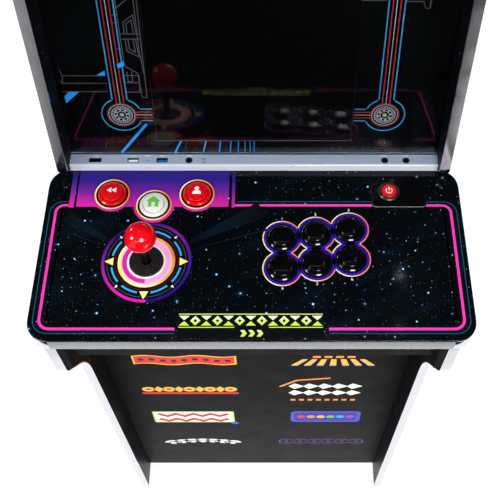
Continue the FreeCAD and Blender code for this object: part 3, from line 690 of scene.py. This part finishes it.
# Printing colours: the stops that each one runs through.
INKS = {
    "black": [(6, 7, 9)],
    "pink": [(246, 50, 172), (250, 70, 186), (246, 50, 172)],
    "frame_blue": [(14, 66, 92), (22, 84, 110)],
    "dusk": [(232, 40, 150), (196, 34, 158), (110, 34, 150), (46, 30, 132), (34, 22, 104)],
    "sun": [(255, 226, 70), (255, 240, 190), (255, 168, 60), (250, 110, 50)],
    "white": [(250, 250, 250), (255, 250, 236)],
    "magenta": [(232, 36, 168), (214, 30, 150)],
    "blush": [(252, 168, 228), (250, 150, 214)],
    "mist": [(190, 205, 200), (214, 200, 206)],
    "maroon": [(66, 16, 12), (44, 10, 8)],
    "cyan": [(24, 160, 226), (40, 174, 240)],
    "lemon": [(240, 238, 110), (248, 246, 150)],
    "grey": [(86, 86, 88), (104, 104, 106)],
    "halo": [(214, 26, 170), (206, 26, 168), (120, 28, 150), (22, 16, 84), (50, 20, 110),
             (124, 26, 150), (54, 20, 150), (34, 16, 130), (24, 12, 100)],
    "beam": [(4, 8, 11), (5, 22, 33), (5, 20, 29), (4, 8, 11)],
    "violet": [(50, 22, 176), (40, 18, 150)],
    "lime": [(186, 220, 60), (206, 230, 96), (252, 254, 236)],
    "stripe_blue": [(44, 150, 205), (52, 160, 214)],
    "stripe_red": [(160, 40, 50), (172, 46, 56)],
    "silver": [(150, 160, 164), (172, 180, 184)],
    "line": [(104, 104, 108), (90, 90, 96)],
    "sky": [(26, 156, 250), (36, 166, 255)],
    "red": [(214, 30, 34), (228, 50, 44)],
    "amber": [(240, 170, 30), (250, 206, 60)],
    "orange": [(236, 128, 40), (246, 152, 60)],
    "blue": [(44, 70, 190), (60, 90, 214)],
    "green": [(84, 176, 60), (120, 200, 84)],
    "plum": [(112, 50, 108), (84, 56, 130)],
    "grape": [(150, 50, 170), (170, 70, 190)],
}
# Painted light: these inks glow a little so that the print behind the screen's glass looks lit;
# the sky ink's stars on the deck glow too.
INK_PAINTED_GLOW = {"stripe_blue": 0.2, "stripe_red": 0.1, "silver": 0.2, "line": 0.2, "sky": 0.2}
INK_ROUGHNESS = {"beam": 0.09}


def printing_inks():
    """The printing colours' materials, shared by all the printed pieces."""
    return SimpleNamespace(**{
        name: ink("ink_" + name, [rgb(*stop) for stop in stops], INK_ROUGHNESS.get(name, 0.22),
                  INK_PAINTED_GLOW.get(name, 0.0)) for name, stops in INKS.items()})


def turning(centre, start):
    """Tone that runs from 0 to 1 and back while going round a centre from a direction."""
    def tone(x, y):
        angle = math.degrees(math.atan2(y - centre[1], x - centre[0])) - start
        return 1 - abs(angle % 360 - 180) / 180
    return tone


def sweeping(centre, start):
    """Tone that runs from 0 to 1 once, clockwise round a centre from a direction."""
    def tone(x, y):
        return (start - math.degrees(math.atan2(y - centre[1], x - centre[0]))) % 360 / 360
    return tone


def climbing(low, high):
    """Tone that rises from 0 at low to 1 at high."""
    return lambda x, y: min(1.0, max(0.0, (y - low) / (high - low)))


PANEL_FRONT, PANEL_BACK = 171.4, DECK_DEPTH - 2.2
PANEL_LEFT, PANEL_RIGHT = -212.0, -30.0
SHOULDER = 173.5           # the frame line's run along the back
dusk_tone = climbing(164.0, 214.0)


def frame_lines(sheet, inks):
    """Pink line round the playing surface, and a thin blue one outside it."""
    strip_y = PANEL_FRONT - 1
    for side, reach in ((-1, -221), (1, PLATE_RIGHT + 0.4)):
        pink = rounded([(side * 85, 14.2, 0), (side * 235, 14.2, 12),
                        (side * 235, SHOULDER, 10), (reach, SHOULDER, 0)])
        blue = rounded([(side * 85, 8.8, 0), (side * 242, 8.8, 17),
                        (side * 242, SHOULDER + 5, 15), (reach, SHOULDER + 5, 0)])
        sheet.stroke(pink, 3, inks.pink, 1, lambda x, y: 0.5 + x / 500)
        sheet.stroke(blue, 1, inks.frame_blue, 1)
    back = [(PLATE_LEFT - 0.4, SHOULDER), (-23, SHOULDER)]
    sheet.stroke(back, 3, inks.pink, 1)
    sheet.stroke([(PLATE_LEFT - 0.4, SHOULDER + 5), (-20, SHOULDER + 5)], 1,
                 inks.frame_blue, 1)
    for left, right in ((-220.6, -214.6), (-26.2, -22.6)):
        sheet.shape(rectangle(left, right, strip_y, PANEL_BACK), inks.dusk, 2, dusk_tone)


def menu_panel(sheet, inks):
    """Dusk-coloured panel behind the three menu buttons, with a scallop round each."""
    sheet.shape(rectangle(PANEL_LEFT, PANEL_RIGHT, PANEL_FRONT, PANEL_BACK), inks.dusk, 1,
                dusk_tone)
    for name in MENU:
        centre = middle_of(name)
        sheet.disc(centre, 24.3, inks.dusk, 2, dusk_tone)
        sheet.ring(centre, 19.4, 21.2, inks.sun, level=3, tone=turning(centre, 200))
        sheet.disc(centre, 19.4, inks.black, 3)


def title(sheet, inks):
    """Abstract motif at the front: paired triangles and lozenges between two rules."""
    left, right, low, high = -80.7, 78.5, 15.6, 32.4
    tone = climbing(17, 30)
    sheet.shape(rectangle(left - 1, right + 1, 3.4, high + 1.2), inks.black, 1)
    sheet.shape(rectangle(left, right, high - 1.1, high), inks.lime, 2, lambda x, y: 0.3)
    for start, end in ((left, -19), (19, right)):
        sheet.shape(rectangle(start, end, low, low + 1), inks.lime, 2, lambda x, y: 0.1)
    count = 13
    pitch = (right - left) / count
    bottom, middle, top = 18.2, 24, 29.8
    for i in range(count):
        x = left + pitch * (i + 0.5)
        half = pitch * 0.47
        if i % 2:
            lozenge = [(x - half, middle), (x, bottom), (x + half, middle), (x, top)]
            sheet.shape(lozenge, inks.lime, 2, tone)
            sheet.disc((x, middle), 1.6, inks.black, 3)
            continue
        for foot, tip in ((bottom, middle - 0.6), (top, middle + 0.6)):
            sheet.shape([(x - half, foot), (x + half, foot), (x, tip)], inks.lime, 2, tone)
    for i in range(3):
        x = (i - 1) * 9
        sheet.shape([(x - 3.6, 5.2), (x + 1, 5.2), (x + 3.8, 9), (x + 1, 12.8),
                     (x - 3.6, 12.8), (x - 0.8, 9)], inks.lime, 2, climbing(3, 16))


def stick_print(inks):
    """Target round the joystick: rings, blue dashes, and pointers in eight directions."""
    sheet = Print("stick_print", on_deck)
    c = STICK
    sheet.disc(c, 52.5, inks.black, 1)
    sheet.ring(c, 48.2, 51.6, inks.halo, level=2, tone=sweeping(c, 272))
    sheet.ring(c, 45, 45.4, inks.grey, level=2)
    sheet.ring(c, 35, 37.2, inks.maroon, level=2)
    sheet.ring(c, 29.8, 33, inks.sun, level=2, tone=turning(c, 200))
    sheet.ring(c, 27.9, 29.8, inks.mist, level=2, tone=turning(c, 0))
    sheet.ring(c, 22.4, 27.9, inks.magenta, 90, 270, level=2)
    sheet.ring(c, 22.4, 27.9, inks.blush, -90, 90, level=2)
    sheet.ring(c, 19.9, 22.4, inks.white, level=2, tone=turning(c, 180))
    for quarter in (0, 90, 180, 270):
        for start, end in ((11, 40), (50, 79)):
            sheet.ring(c, 38.9, 41.1, inks.cyan, quarter + start, quarter + end, level=2)
        base = [polar(c, 38.4, quarter + turn) for turn in (-7.6, 7.6)]
        sheet.shape([*base, polar(c, 47.8, quarter)], inks.lemon, 3)
        diagonal = quarter + 45
        sheet.shape([polar(c, 43.6, diagonal - 1.9), polar(c, 47.6, diagonal),
                     polar(c, 43.6, diagonal + 1.9)], inks.white, 3)
    sheet.build("cabinet")


def button_print(inks):
    """Joined violet rings round the six action buttons, with a sun-coloured outline."""
    sheet = Print("button_print", on_deck)
    for name in ACTION:
        centre = middle_of(name)
        sheet.disc(centre, 22.9, inks.sun, 1, lambda x, y, c=centre: (x - c[0] + 23) / 46)
    for name in ACTION:
        sheet.disc(middle_of(name), 21.6, inks.violet, 2)
    for name in ACTION:
        sheet.disc(middle_of(name), 18.6, inks.black, 3)
    sheet.build("cabinet")


def labels(inks):
    """Numbers beside the action buttons."""
    for i, name in enumerate(ACTION):
        x, y = middle_of(name)
        offset = 26 if i < 3 else -26
        curve = bpy.data.curves.new(f"label_{i + 1}", "FONT")
        curve.body = str(i + 1)
        curve.size = 5 * MM
        curve.extrude = INK * MM
        curve.align_x = "CENTER"
        curve.align_y = "CENTER"
        text = bpy.data.objects.new("text", curve)
        bpy.context.scene.collection.objects.link(text)
        bpy.context.view_layer.update()
        mesh = bpy.data.meshes.new_from_object(text)
        bpy.data.objects.remove(text)
        mesh.transform(Matrix.Translation(on_deck(x, y + offset, INK) * MM))
        mesh.materials.clear()
        mesh.materials.append(inks.white)
        add_piece(f"label_{i + 1}", mesh, "cabinet")


def big_stars(inks):
    """The brightest stars, printed as small spots with a blue glow."""
    sheet = Print("star_print", on_deck)
    near, beams = 53, ((149, 8, 118), (158, 1.2, 110), (28, 9, 150), (17, 1.2, 165))
    for direction, width, far in beams:
        corners = [polar(STICK, reach, direction + turn * width / 2)
                   for reach, turn in ((near, -0.5), (near, 0.5), (far, 1), (far, -1))]
        sheet.shape(corners, inks.beam, 1,
                    lambda x, y, far=far: (math.dist((x, y), STICK) - near) / (far - near))
    spots = [(-199, 152, 1.2), (-205, 101, 0.8), (-148, 152, 1.1), (-172, 33, 1.2),
             (-110, 36, 1), (-66, 158, 1.1), (-54, 113, 0.9), (-41, 81, 1.2), (-26, 66, 1),
             (2, 206, 1.2), (-30, 183, 1), (68, 44, 1.4), (16, 33, 1.2), (138, 200, 1.2),
             (60, 64, 0.8), (188, 112, 0.9), (172, 88, 1.1), (198, 58, 1), (182, 23, 1),
             (118, 25, 0.9), (-214, 60, 0.8), (-226, 120, 0.9)]
    for x, y, size in spots:
        sheet.disc((x, y), size * 1.5, inks.frame_blue, 1)
        sheet.disc((x, y), size * 0.95, inks.sky, 2)
        sheet.disc((x, y), size * 0.6, inks.white, 3)
    sheet.build("cabinet")


def deck_print(inks):
    sheet = Print("deck_print", on_deck)
    frame_lines(sheet, inks)
    menu_panel(sheet, inks)
    title(sheet, inks)
    sheet.build("cabinet")


# ---- symbols on the caps ------------------------------------------------------------------

def cap_symbols(inks):
    rewind = Print("rewind_symbol", on_cap("rewind_button"))
    for x in (-3.2, 2.6):
        rewind.shape([(x - 2.6, 2), (x + 2.9, -1.6), (x + 2.9, 5.6)], inks.white, 3)
    rewind.build("rewind_button", 1)

    home = Print("home_symbol", on_cap("home_button"))
    home.shape([(-8.8, 1.8), (0, 9.4), (8.8, 1.8), (6.1, 1.8), (6.1, -6), (2, -6),
                (2, 0.4), (-2, 0.4), (-2, -6), (-6.1, -6), (-6.1, 1.8)],
               inks.green, 3)
    home.build("home_button", 1)

    player = Print("player_symbol", on_cap("player_button"))
    player.disc((0, 4.6), 2.7, inks.white, 3)
    player.shape(rounded([(-5, -3.4, 0.5), (5, -3.4, 0.5), (5, 1.4, 3),
                          (-5, 1.4, 3)], closed=True), inks.white, 3)
    player.build("player_button", 1)

    power = Print("power_symbol", on_cap("power_button"))
    power.ring((0, 0), 3.2, 4.1, inks.white, 125, 415, level=3)
    power.shape(rectangle(-0.5, 0.5, 0.4, 5.2), inks.white, 3)
    power.build("power_button", 0.8)


# ---- the screen surround's print ----------------------------------------------------------

def screen_print(inks):
    """Striped border with round medallions at its corners, over faint technical lines."""
    sheet = Print("screen_print", on_bezel)
    across, low, high, window = 154.5, 60, 360, 118.6
    gap = 24.5             # degrees from a stripe's middle to the end of the blue ring
    stripes = ((0, inks.silver, 0.9, 16.5), (-4.2, inks.stripe_red, 1.4, 16.5),
               (4.2, inks.stripe_red, 1.4, 16.5), (-8.6, inks.stripe_blue, 1.3, 22.5),
               (8.6, inks.stripe_blue, 1.3, 22.5))
    for side, corners in ((-1, ((low, 0), (high, 270))), (1, ((low, 90), (high, 180)))):
        for u, first in corners:
            centre = (side * across, u)
            medallion(sheet, inks, centre)
            for start, end in ((first + gap, first + 90 - gap),
                               (first + 90 + gap, first + 360 - gap)):
                sheet.ring(centre, 22.8, 24.1, inks.stripe_blue, start, end, level=2)
            for offset, colour, width, clear in stripes:
                sheet.stroke([(side * (across - clear), u + offset), (side * window, u + offset)],
                             width, colour, 2)
        for offset, colour, width, clear in stripes:
            x = side * across + offset
            sheet.stroke([(x, low + clear), (x, high - clear)], width, colour, 2)
    technical_lines(sheet, inks)
    slashes(sheet, inks)
    sheet.build("cabinet")


def medallion(sheet, inks, centre):
    """Concentric rings with a ring of ticks."""
    for inner, outer in ((14.8, 15.7), (12, 12.8), (8.6, 9.5), (5, 5.8)):
        sheet.ring(centre, inner, outer, inks.silver, level=2)
    sheet.ring(centre, 16.2, 17.3, inks.stripe_red, level=2)
    for i in range(24):
        sheet.ring(centre, 9.8, 12, inks.silver, i * 15, i * 15 + 6, level=3)
    for i in range(8):
        sheet.ring(centre, 6.2, 8.4, inks.silver, i * 45, i * 45 + 20, level=3)
    sheet.disc(centre, 2.6, inks.silver, 3)


def technical_lines(sheet, inks):
    """Thin grey outlines beside the window, and a double rail running out to the left."""
    thin = 0.8
    paths = [
        [(-217.5, 127), (-215, 116.2), (-167.5, 116.2)],
        [(-215, 116.2), (-216.6, 105.8), (-219, 108.6)],
        [(-216.6, 105.8), (-166, 105.8)],
        [(-219, 93.8), (-166.2, 93.8)],
        [(-143.6, 216.5), (-143.2, 130), (-129.4, 119.6), (-128, 86), (-122.4, 85.4),
         (-121, 216.5)],
        [(-124.2, 216.5), (-124.8, 150), (-122.6, 120)],
        [(-142.6, 172), (-121.6, 172)], [(-142.6, 165.4), (-121.6, 165.4)],
        [(-138.6, 172), (-138, 187), (-126.8, 196), (-125.4, 172)],
        [(-135.4, 172), (-135, 185), (-129.4, 189.6), (-128.4, 172)],
        [(-138.4, 165.4), (-138, 150), (-125.6, 142), (-127, 165.4)],
        [(-135.2, 165.4), (-135, 152.6), (-128.8, 148.4), (-129.8, 165.4)],
        [(-146.8, 116.6), (-145.6, 93.2), (-129.6, 93.2), (-128.4, 116.6), (-146.8, 116.6)],
        [(-141.4, 122), (-141.4, 108), (-136.2, 108), (-136.2, 122)],
        [(-146, 106.6), (-129, 106.6)],
        [(-150, 196), (-143.6, 196)], [(-150, 186), (-143.6, 186)],
        [(-150, 152.6), (-143.2, 152.6)],
        [(-144, 204), (-130, 216)],
        [(115.4, 214), (143, 214)],
        [(161.6, 222), (163.2, 212.8), (182.2, 212.8), (185.2, 204.8), (189.8, 204.8),
         (190.2, 222)],
        [(-118, 20.4), (118, 20.4)],
    ]
    for path in paths:
        sheet.stroke(path, thin, inks.line, 1)


def slashes(sheet, inks):
    """Bright blue wedges and the slanted lines below the window."""
    for path in ([(-217.5, 86.4), (-212, 93.4), (-200, 93.4), (-217, 77)],
                 [(-176.7, 116.8), (-166.4, 123.2), (-166.4, 116.8)],
                 [(-151.5, 131.8), (-144, 136.4), (-143.4, 130.6), (-151.2, 125.8)]):
        sheet.shape(path, inks.sky, 2)
    slants = [(-127, 46, -161.8, 1, 3.2), (-88, 19.6, -96.6, 1, 2.2),
              (-57.8, 19.6, -62.2, 1, 1.5), (-40.3, 19.6, -42.8, 1, 1.2),
              (-27.6, 19.6, -29.2, 1, 0.9), (-18.5, 19.6, -19.5, 1, 0.8),
              (-10.7, 19.6, -11.2, 1, 0.7), (-4.7, 19.6, -4.9, 1, 0.6),
              (0.2, 19.6, 0.2, 1, 0.6)]
    for x0, u0, x1, u1, width in slants:
        sheet.stroke([(x0, u0), (x1, u1)], width, inks.sky, 2)


# ---- the front panel's emblems ------------------------------------------------------------

def ribbon(x0, x1, z0, z1, swell, grow=0.0):
    """Outline of a band whose edges wave."""
    steps = 28
    top, bottom = [], []
    for i in range(steps + 1):
        t = i / steps
        x = x0 - grow + (x1 - x0 + 2 * grow) * t
        wave = swell * math.sin(t * math.pi * 4)
        top.append((x, z1 + grow + wave))
        bottom.append((x, z0 - grow + wave))
    return top + bottom[::-1]


def emblems(inks):
    """Eight abstract badges in two columns."""
    sheet = Print("front_print", on_front)

    sheet.shape(ribbon(-182, -34, 545, 572, 3.5, 3), inks.amber, 1)
    sheet.shape(ribbon(-182, -34, 545, 572, 3.5), inks.red, 2)
    for i in range(9):
        x = -172 + i * 16
        sheet.disc((x, 558.5 + 3.5 * math.sin((x + 182) / 148 * math.pi * 4)), 4.6,
                   inks.black, 3)

    for i in range(7):
        x = 113 + (i - 3) * 15
        lean = (i - 3) * 4.4
        for shift, colour, level in ((3, inks.blue, 1), (0, inks.amber, 2)):
            sheet.shape([(x - 5 + lean, 538 - shift), (x + 5 + lean, 538 - shift),
                         (x + 4 - lean * 0.2, 562 - shift), (x - 4 - lean * 0.2, 562 - shift)],
                        colour, level)
    for i in range(4):
        x = 113 + (i - 1.5) * 17
        sheet.shape(rectangle(x - 6, x + 6, 567, 575, 2), inks.orange, 2)

    sheet.shape(rectangle(-188, -32, 412, 420, 3), inks.red, 1)
    for i in range(9):
        x = -176 + i * 16.4
        if i % 2:
            sheet.shape([(x - 9, 434), (x, 421), (x + 9, 434), (x, 447)], inks.amber, 2)
        else:
            sheet.disc((x, 434), 10.5, inks.amber, 2)
            sheet.disc((x, 434), 4, inks.red, 3)

    for i in range(5):
        x = 60 + i * 23
        for shift in (0, 30):
            sheet.shape([(x - 12, 418 + shift), (x - 3, 406 + shift), (x + 13, 418 + shift),
                         (x - 3, 430 + shift)], inks.white, 2)
    sheet.stroke([(34, 446), (60, 474), (112, 484)], 5, inks.orange, 2)
    for i in range(8):
        x = 52 + i * 14
        sheet.shape(rectangle(x, x + 8, 380, 388), inks.orange, 2)

    sheet.shape(rectangle(-184, -44, 266, 324, 3), inks.lime, 1, lambda x, y: 0.4)
    sheet.shape(rectangle(-181, -47, 269, 321, 2), inks.white, 2)
    for low in (274, 300):
        zigzag = [(-174 + i * 15, low + (0 if i % 2 else 12)) for i in range(9)]
        sheet.stroke(zigzag, 9, inks.red, 3)
    sheet.disc((-44, 262), 7, inks.blue, 3)

    sheet.shape(rectangle(54, 174, 268, 325, 10), inks.blue, 1)
    sheet.shape(rectangle(60, 168, 274, 319, 8), inks.violet, 2)
    spectrum = (inks.red, inks.orange, inks.amber, inks.green, inks.cyan, inks.grape)
    for i, colour in enumerate(spectrum):
        sheet.disc((72 + i * 16.8, 296.5), 7.2, colour, 3)

    for i in range(7):
        centre = (-164 + i * 18.6, 142 + 10 * math.sin(i / 6 * math.pi))
        sheet.ring(centre, 8.5, 16.5, inks.white, 10, 170, level=1)
        sheet.disc(centre, 6, inks.white, 1)

    for i in range(6):
        centre = (48 + i * 26, 152)
        hexagon = [polar(centre, 14.5, 30 + 60 * k) for k in range(6)]
        sheet.stroke(hexagon, 2.6, inks.plum, 1, closed=True)
        sheet.disc(centre, 3.6, inks.plum, 1)
    sheet.build("cabinet")


# ---- the sides' and marquee's print -------------------------------------------------------

def side_print(side, inks):
    """Sweeping bands across a side board."""
    name = "left_side_print" if side < 0 else "right_side_print"
    sheet = Print(name, on_side(side))
    bands = ((0, inks.cyan, 9), (18, inks.violet, 14), (40, inks.magenta, 16),
             (62, inks.amber, 9))
    for offset, colour, width in bands:
        path = rounded([(-150, 90 + offset, 0), (60 - offset * 0.4, 300 + offset, 120),
                        (60 - offset * 0.4, 760, 160), (206, 1150 + offset, 0)])
        sheet.stroke(path, width, colour, 1)
    centre = (110, 1180)
    sheet.disc(centre, 74, inks.black, 2)
    sheet.ring(centre, 62, 72, inks.sun, level=3, tone=turning(centre, 200))
    sheet.ring(centre, 44, 56, inks.halo, level=3, tone=turning(centre, 40))
    for quarter in range(0, 360, 90):
        sheet.shape([polar(centre, 8, quarter - 45), polar(centre, 38, quarter),
                     polar(centre, 8, quarter + 45)], inks.lemon, 3)
    sheet.build("cabinet")


def marquee_print(inks):
    """Row of sun-coloured chevrons between two rules."""
    sheet = Print("marquee_print", on_marquee)
    low, high = side_of("marquee_panel", 0, 2), side_of("marquee_panel", 1, 2)
    middle = (low + high) / 2
    half = 26
    for i in range(-4, 5):
        x = i * 36
        tip = 12 if i > 0 else -12
        if i == 0:
            sheet.disc((0, middle), half, inks.black, 1)
            sheet.ring((0, middle), 17, 24, inks.sun, level=2, tone=turning((0, middle), 200))
            sheet.disc((0, middle), 9, inks.lemon, 2)
            continue
        sheet.shape([(x - 9, middle - half), (x + 9, middle - half), (x + 9 + tip, middle),
                     (x + 9, middle + half), (x - 9, middle + half), (x - 9 + tip, middle)],
                    inks.lime, 1, climbing(middle - half, middle + half))
    for z in (low + 14, high - 14):
        sheet.stroke([(-196, z), (196, z)], 2.4, inks.cyan, 1)
    sheet.build("cabinet")


# ---- sockets' insides ---------------------------------------------------------------------

def block(work, x0, x1, y0, y1, z0, z1, chamfer=0.15):
    """Small moulded block with broken edges, in millimetres of the row frame."""
    made = bmesh.ops.create_cube(work, size=1.0)["verts"]
    for vertex in made:
        vertex.co = Vector((x0 if vertex.co.x < 0 else x1, y0 if vertex.co.y < 0 else y1,
                            z0 if vertex.co.z < 0 else z1)) * MM
    edges = {edge for vertex in made for edge in vertex.link_edges}
    bmesh.ops.bevel(work, geom=list(edges), offset=chamfer * MM, segments=2, affect="EDGES",
                    profile=0.5)


def moulded(name, blocks, material):
    work = bmesh.new()
    for sides in blocks:
        block(work, *sides)
    mesh = bpy.data.meshes.new(name)
    work.to_mesh(mesh)
    work.free()
    mesh.materials.append(material)
    add_piece(name, mesh, "cabinet")


def socket_tongues():
    """Coloured plastic tongues in the two USB sockets."""
    low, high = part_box("usb_ports")
    x0, x1, y0, y1 = low.x / MM, high.x / MM, low.y / MM, high.y / MM
    top = high.z / MM
    half = 6.9             # half a socket's width
    white = plastic("tongue_white", rgb(246, 248, 250), 0.3)
    blue = plastic("tongue_blue", rgb(18, 104, 170), 0.3)
    for name, x, material in (("usb_tongue_white", x0 + half, white),
                              ("usb_tongue_blue", x1 - half, blue)):
        moulded(name, [(x - 5.7, x + 5.7, y0 + 1.1, y0 + 4.3, top - 12, top - 0.9)],
                material)


def port_marks(inks):
    """A small plain dash behind each socket and the reset hole."""
    sheet = Print("port_marks", on_strip)
    back = 236.6
    for x in (-193.3, -147.3, -130.0, -111.9, -79.2, 159.3, 185.3):
        sheet.shape(rectangle(x - 3.2, x + 3.2, back, back + 0.8), inks.white, 1)
    sheet.build("cabinet")


# ---- stage --------------------------------------------------------------------------------

def floor():
    """White floor. Only the part near the cabinet shows in its glossy surfaces."""
    reach, near_x, near_front, near_back = 9.0, 1.7, -0.603, 1.7
    across = (-reach, -near_x, near_x, reach)
    along = (-reach, near_front, near_back, reach)
    for name, in_middle, pale, glow in (("floor_near", True, rgb(136, 136, 137), 0.85),
                                        ("floor_far", False, rgb(247, 247, 248), 0.3)):
        look = Look(name, Roughness=0.8, Specular_IOR_Level=0.1)
        look.colour(look.mix(look.noise(300.0), shade(pale, 0.97), pale))
        look.glow((1.0, 1.0, 1.0, 1.0), glow)
        work = bmesh.new()
        for i in range(3):
            for j in range(3):
                if (i == 1 and j == 1) == in_middle:
                    work.faces.new([work.verts.new((x, y, 0.0)) for x, y in (
                        (across[i], along[j]), (across[i + 1], along[j]),
                        (across[i + 1], along[j + 1]), (across[i], along[j + 1]))])
        mesh = bpy.data.meshes.new(name)
        work.to_mesh(mesh)
        work.free()
        mesh.materials.append(look.material)
        plane = bpy.data.objects.new(name, mesh)
        plane.visible_glossy = plane.visible_transmission = in_middle
        bpy.context.scene.collection.objects.link(plane)


def lamp(name, place, target, width, radiance, height=None, shown_in_gloss=True):
    """Softbox, square unless its height is given, as bright as its radiance from anywhere."""
    light = bpy.data.lights.new(name, "AREA")
    light.shape = "RECTANGLE"
    light.size = width
    light.size_y = height or width
    light.energy = radiance * math.pi * light.size * light.size_y
    piece = bpy.data.objects.new(name, light)
    piece.location = place
    piece.rotation_euler = (Vector(target) - Vector(place)).to_track_quat("-Z", "Y").to_euler()
    piece.visible_glossy = piece.visible_transmission = shown_in_gloss
    bpy.context.scene.collection.objects.link(piece)


def lights(view):
    """Softboxes placed so that their images fall on chosen spots of the ball, and broad fill."""
    low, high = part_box("stick_ball")
    ball = (low + high) / 2
    right, up, back = (view.matrix_world.col[i].to_3d() for i in range(3))
    sight = (ball - view.location).normalized()
    for name, across, down, size, radiance, distance in (
            ("window_left", -0.37, 0.0, 0.5, 14.0, 1.7),
            ("window_right", 0.24, 0.12, 0.62, 16.0, 1.7),
            ("small_back_left", -0.44, -0.52, 0.3, 8.0, 1.6),
            ("broad_front_right", 0.50, 0.52, 0.7, 2.5, 2.0)):
        out = math.sqrt(1 - across ** 2 - down ** 2)
        normal = right * across - up * down + back * out
        mirrored = sight - 2 * sight.dot(normal) * normal
        lamp(name, ball + mirrored * distance, ball, size, radiance)
    lamp("front_strip", (0.3, -2.3, 2.3), (0.0, -0.1, 0.9), 4.4, 4.0, height=0.2)
    lamp("card_left", (-0.92, -1.0, 0.75), (-0.92, 0.0, 0.75), 0.8, 0.38, height=1.1)
    lamp("overhead", (0.0, 0.5, 3.4), (0.0, 0.3, 0.0), 3.2, 1.2, shown_in_gloss=False)
    lamp("front_fill", (0.0, -2.6, 1.3), (0.0, 0.0, 0.5), 1.6, 0.6, shown_in_gloss=False)
    world = bpy.data.worlds.new("studio")
    bpy.context.scene.world = world
    world.use_nodes = True
    background = world.node_tree.nodes["Background"]
    background.inputs["Color"].default_value = (0.95, 0.97, 1.0, 1.0)
    background.inputs["Strength"].default_value = 0.55
    world.cycles_visibility.glossy = world.cycles_visibility.transmission = False


def camera():
    """Just above head height in front of the deck, looking steeply down at it."""
    pitch, yaw, roll = (math.radians(angle) for angle in (57.68, 0.42, -0.40))
    ahead = Vector((math.sin(yaw) * math.cos(pitch), math.cos(yaw) * math.cos(pitch),
                    -math.sin(pitch)))
    level = Vector((math.cos(yaw), -math.sin(yaw), 0.0))
    lower = ahead.cross(level)
    right = level * math.cos(roll) + lower * math.sin(roll)
    down = lower * math.cos(roll) - level * math.sin(roll)
    data = bpy.data.cameras.new("camera")
    data.sensor_width = 36.0
    data.lens = 62.43
    data.shift_x = -0.0544
    data.shift_y = -0.1096
    data.clip_start = 0.05
    view = bpy.data.objects.new("camera", data)
    turn = Matrix((right, -down, -ahead)).transposed().to_4x4()
    view.matrix_world = Matrix.Translation((0.02413, -0.61038, 1.77236)) @ turn
    bpy.context.scene.collection.objects.link(view)
    bpy.context.scene.camera = view
    bpy.context.view_layer.update()
    return view


def main():
    lights(camera())
    floor()
    finish_nodes()
    inks = printing_inks()
    deck_print(inks)
    stick_print(inks)
    button_print(inks)
    labels(inks)
    big_stars(inks)
    cap_symbols(inks)
    screen_print(inks)
    emblems(inks)
    for side in (-1, 1):
        side_print(side, inks)
    marquee_print(inks)
    socket_tongues()
    port_marks(inks)
    bpy.context.scene.view_settings.view_transform = "Standard"


main()
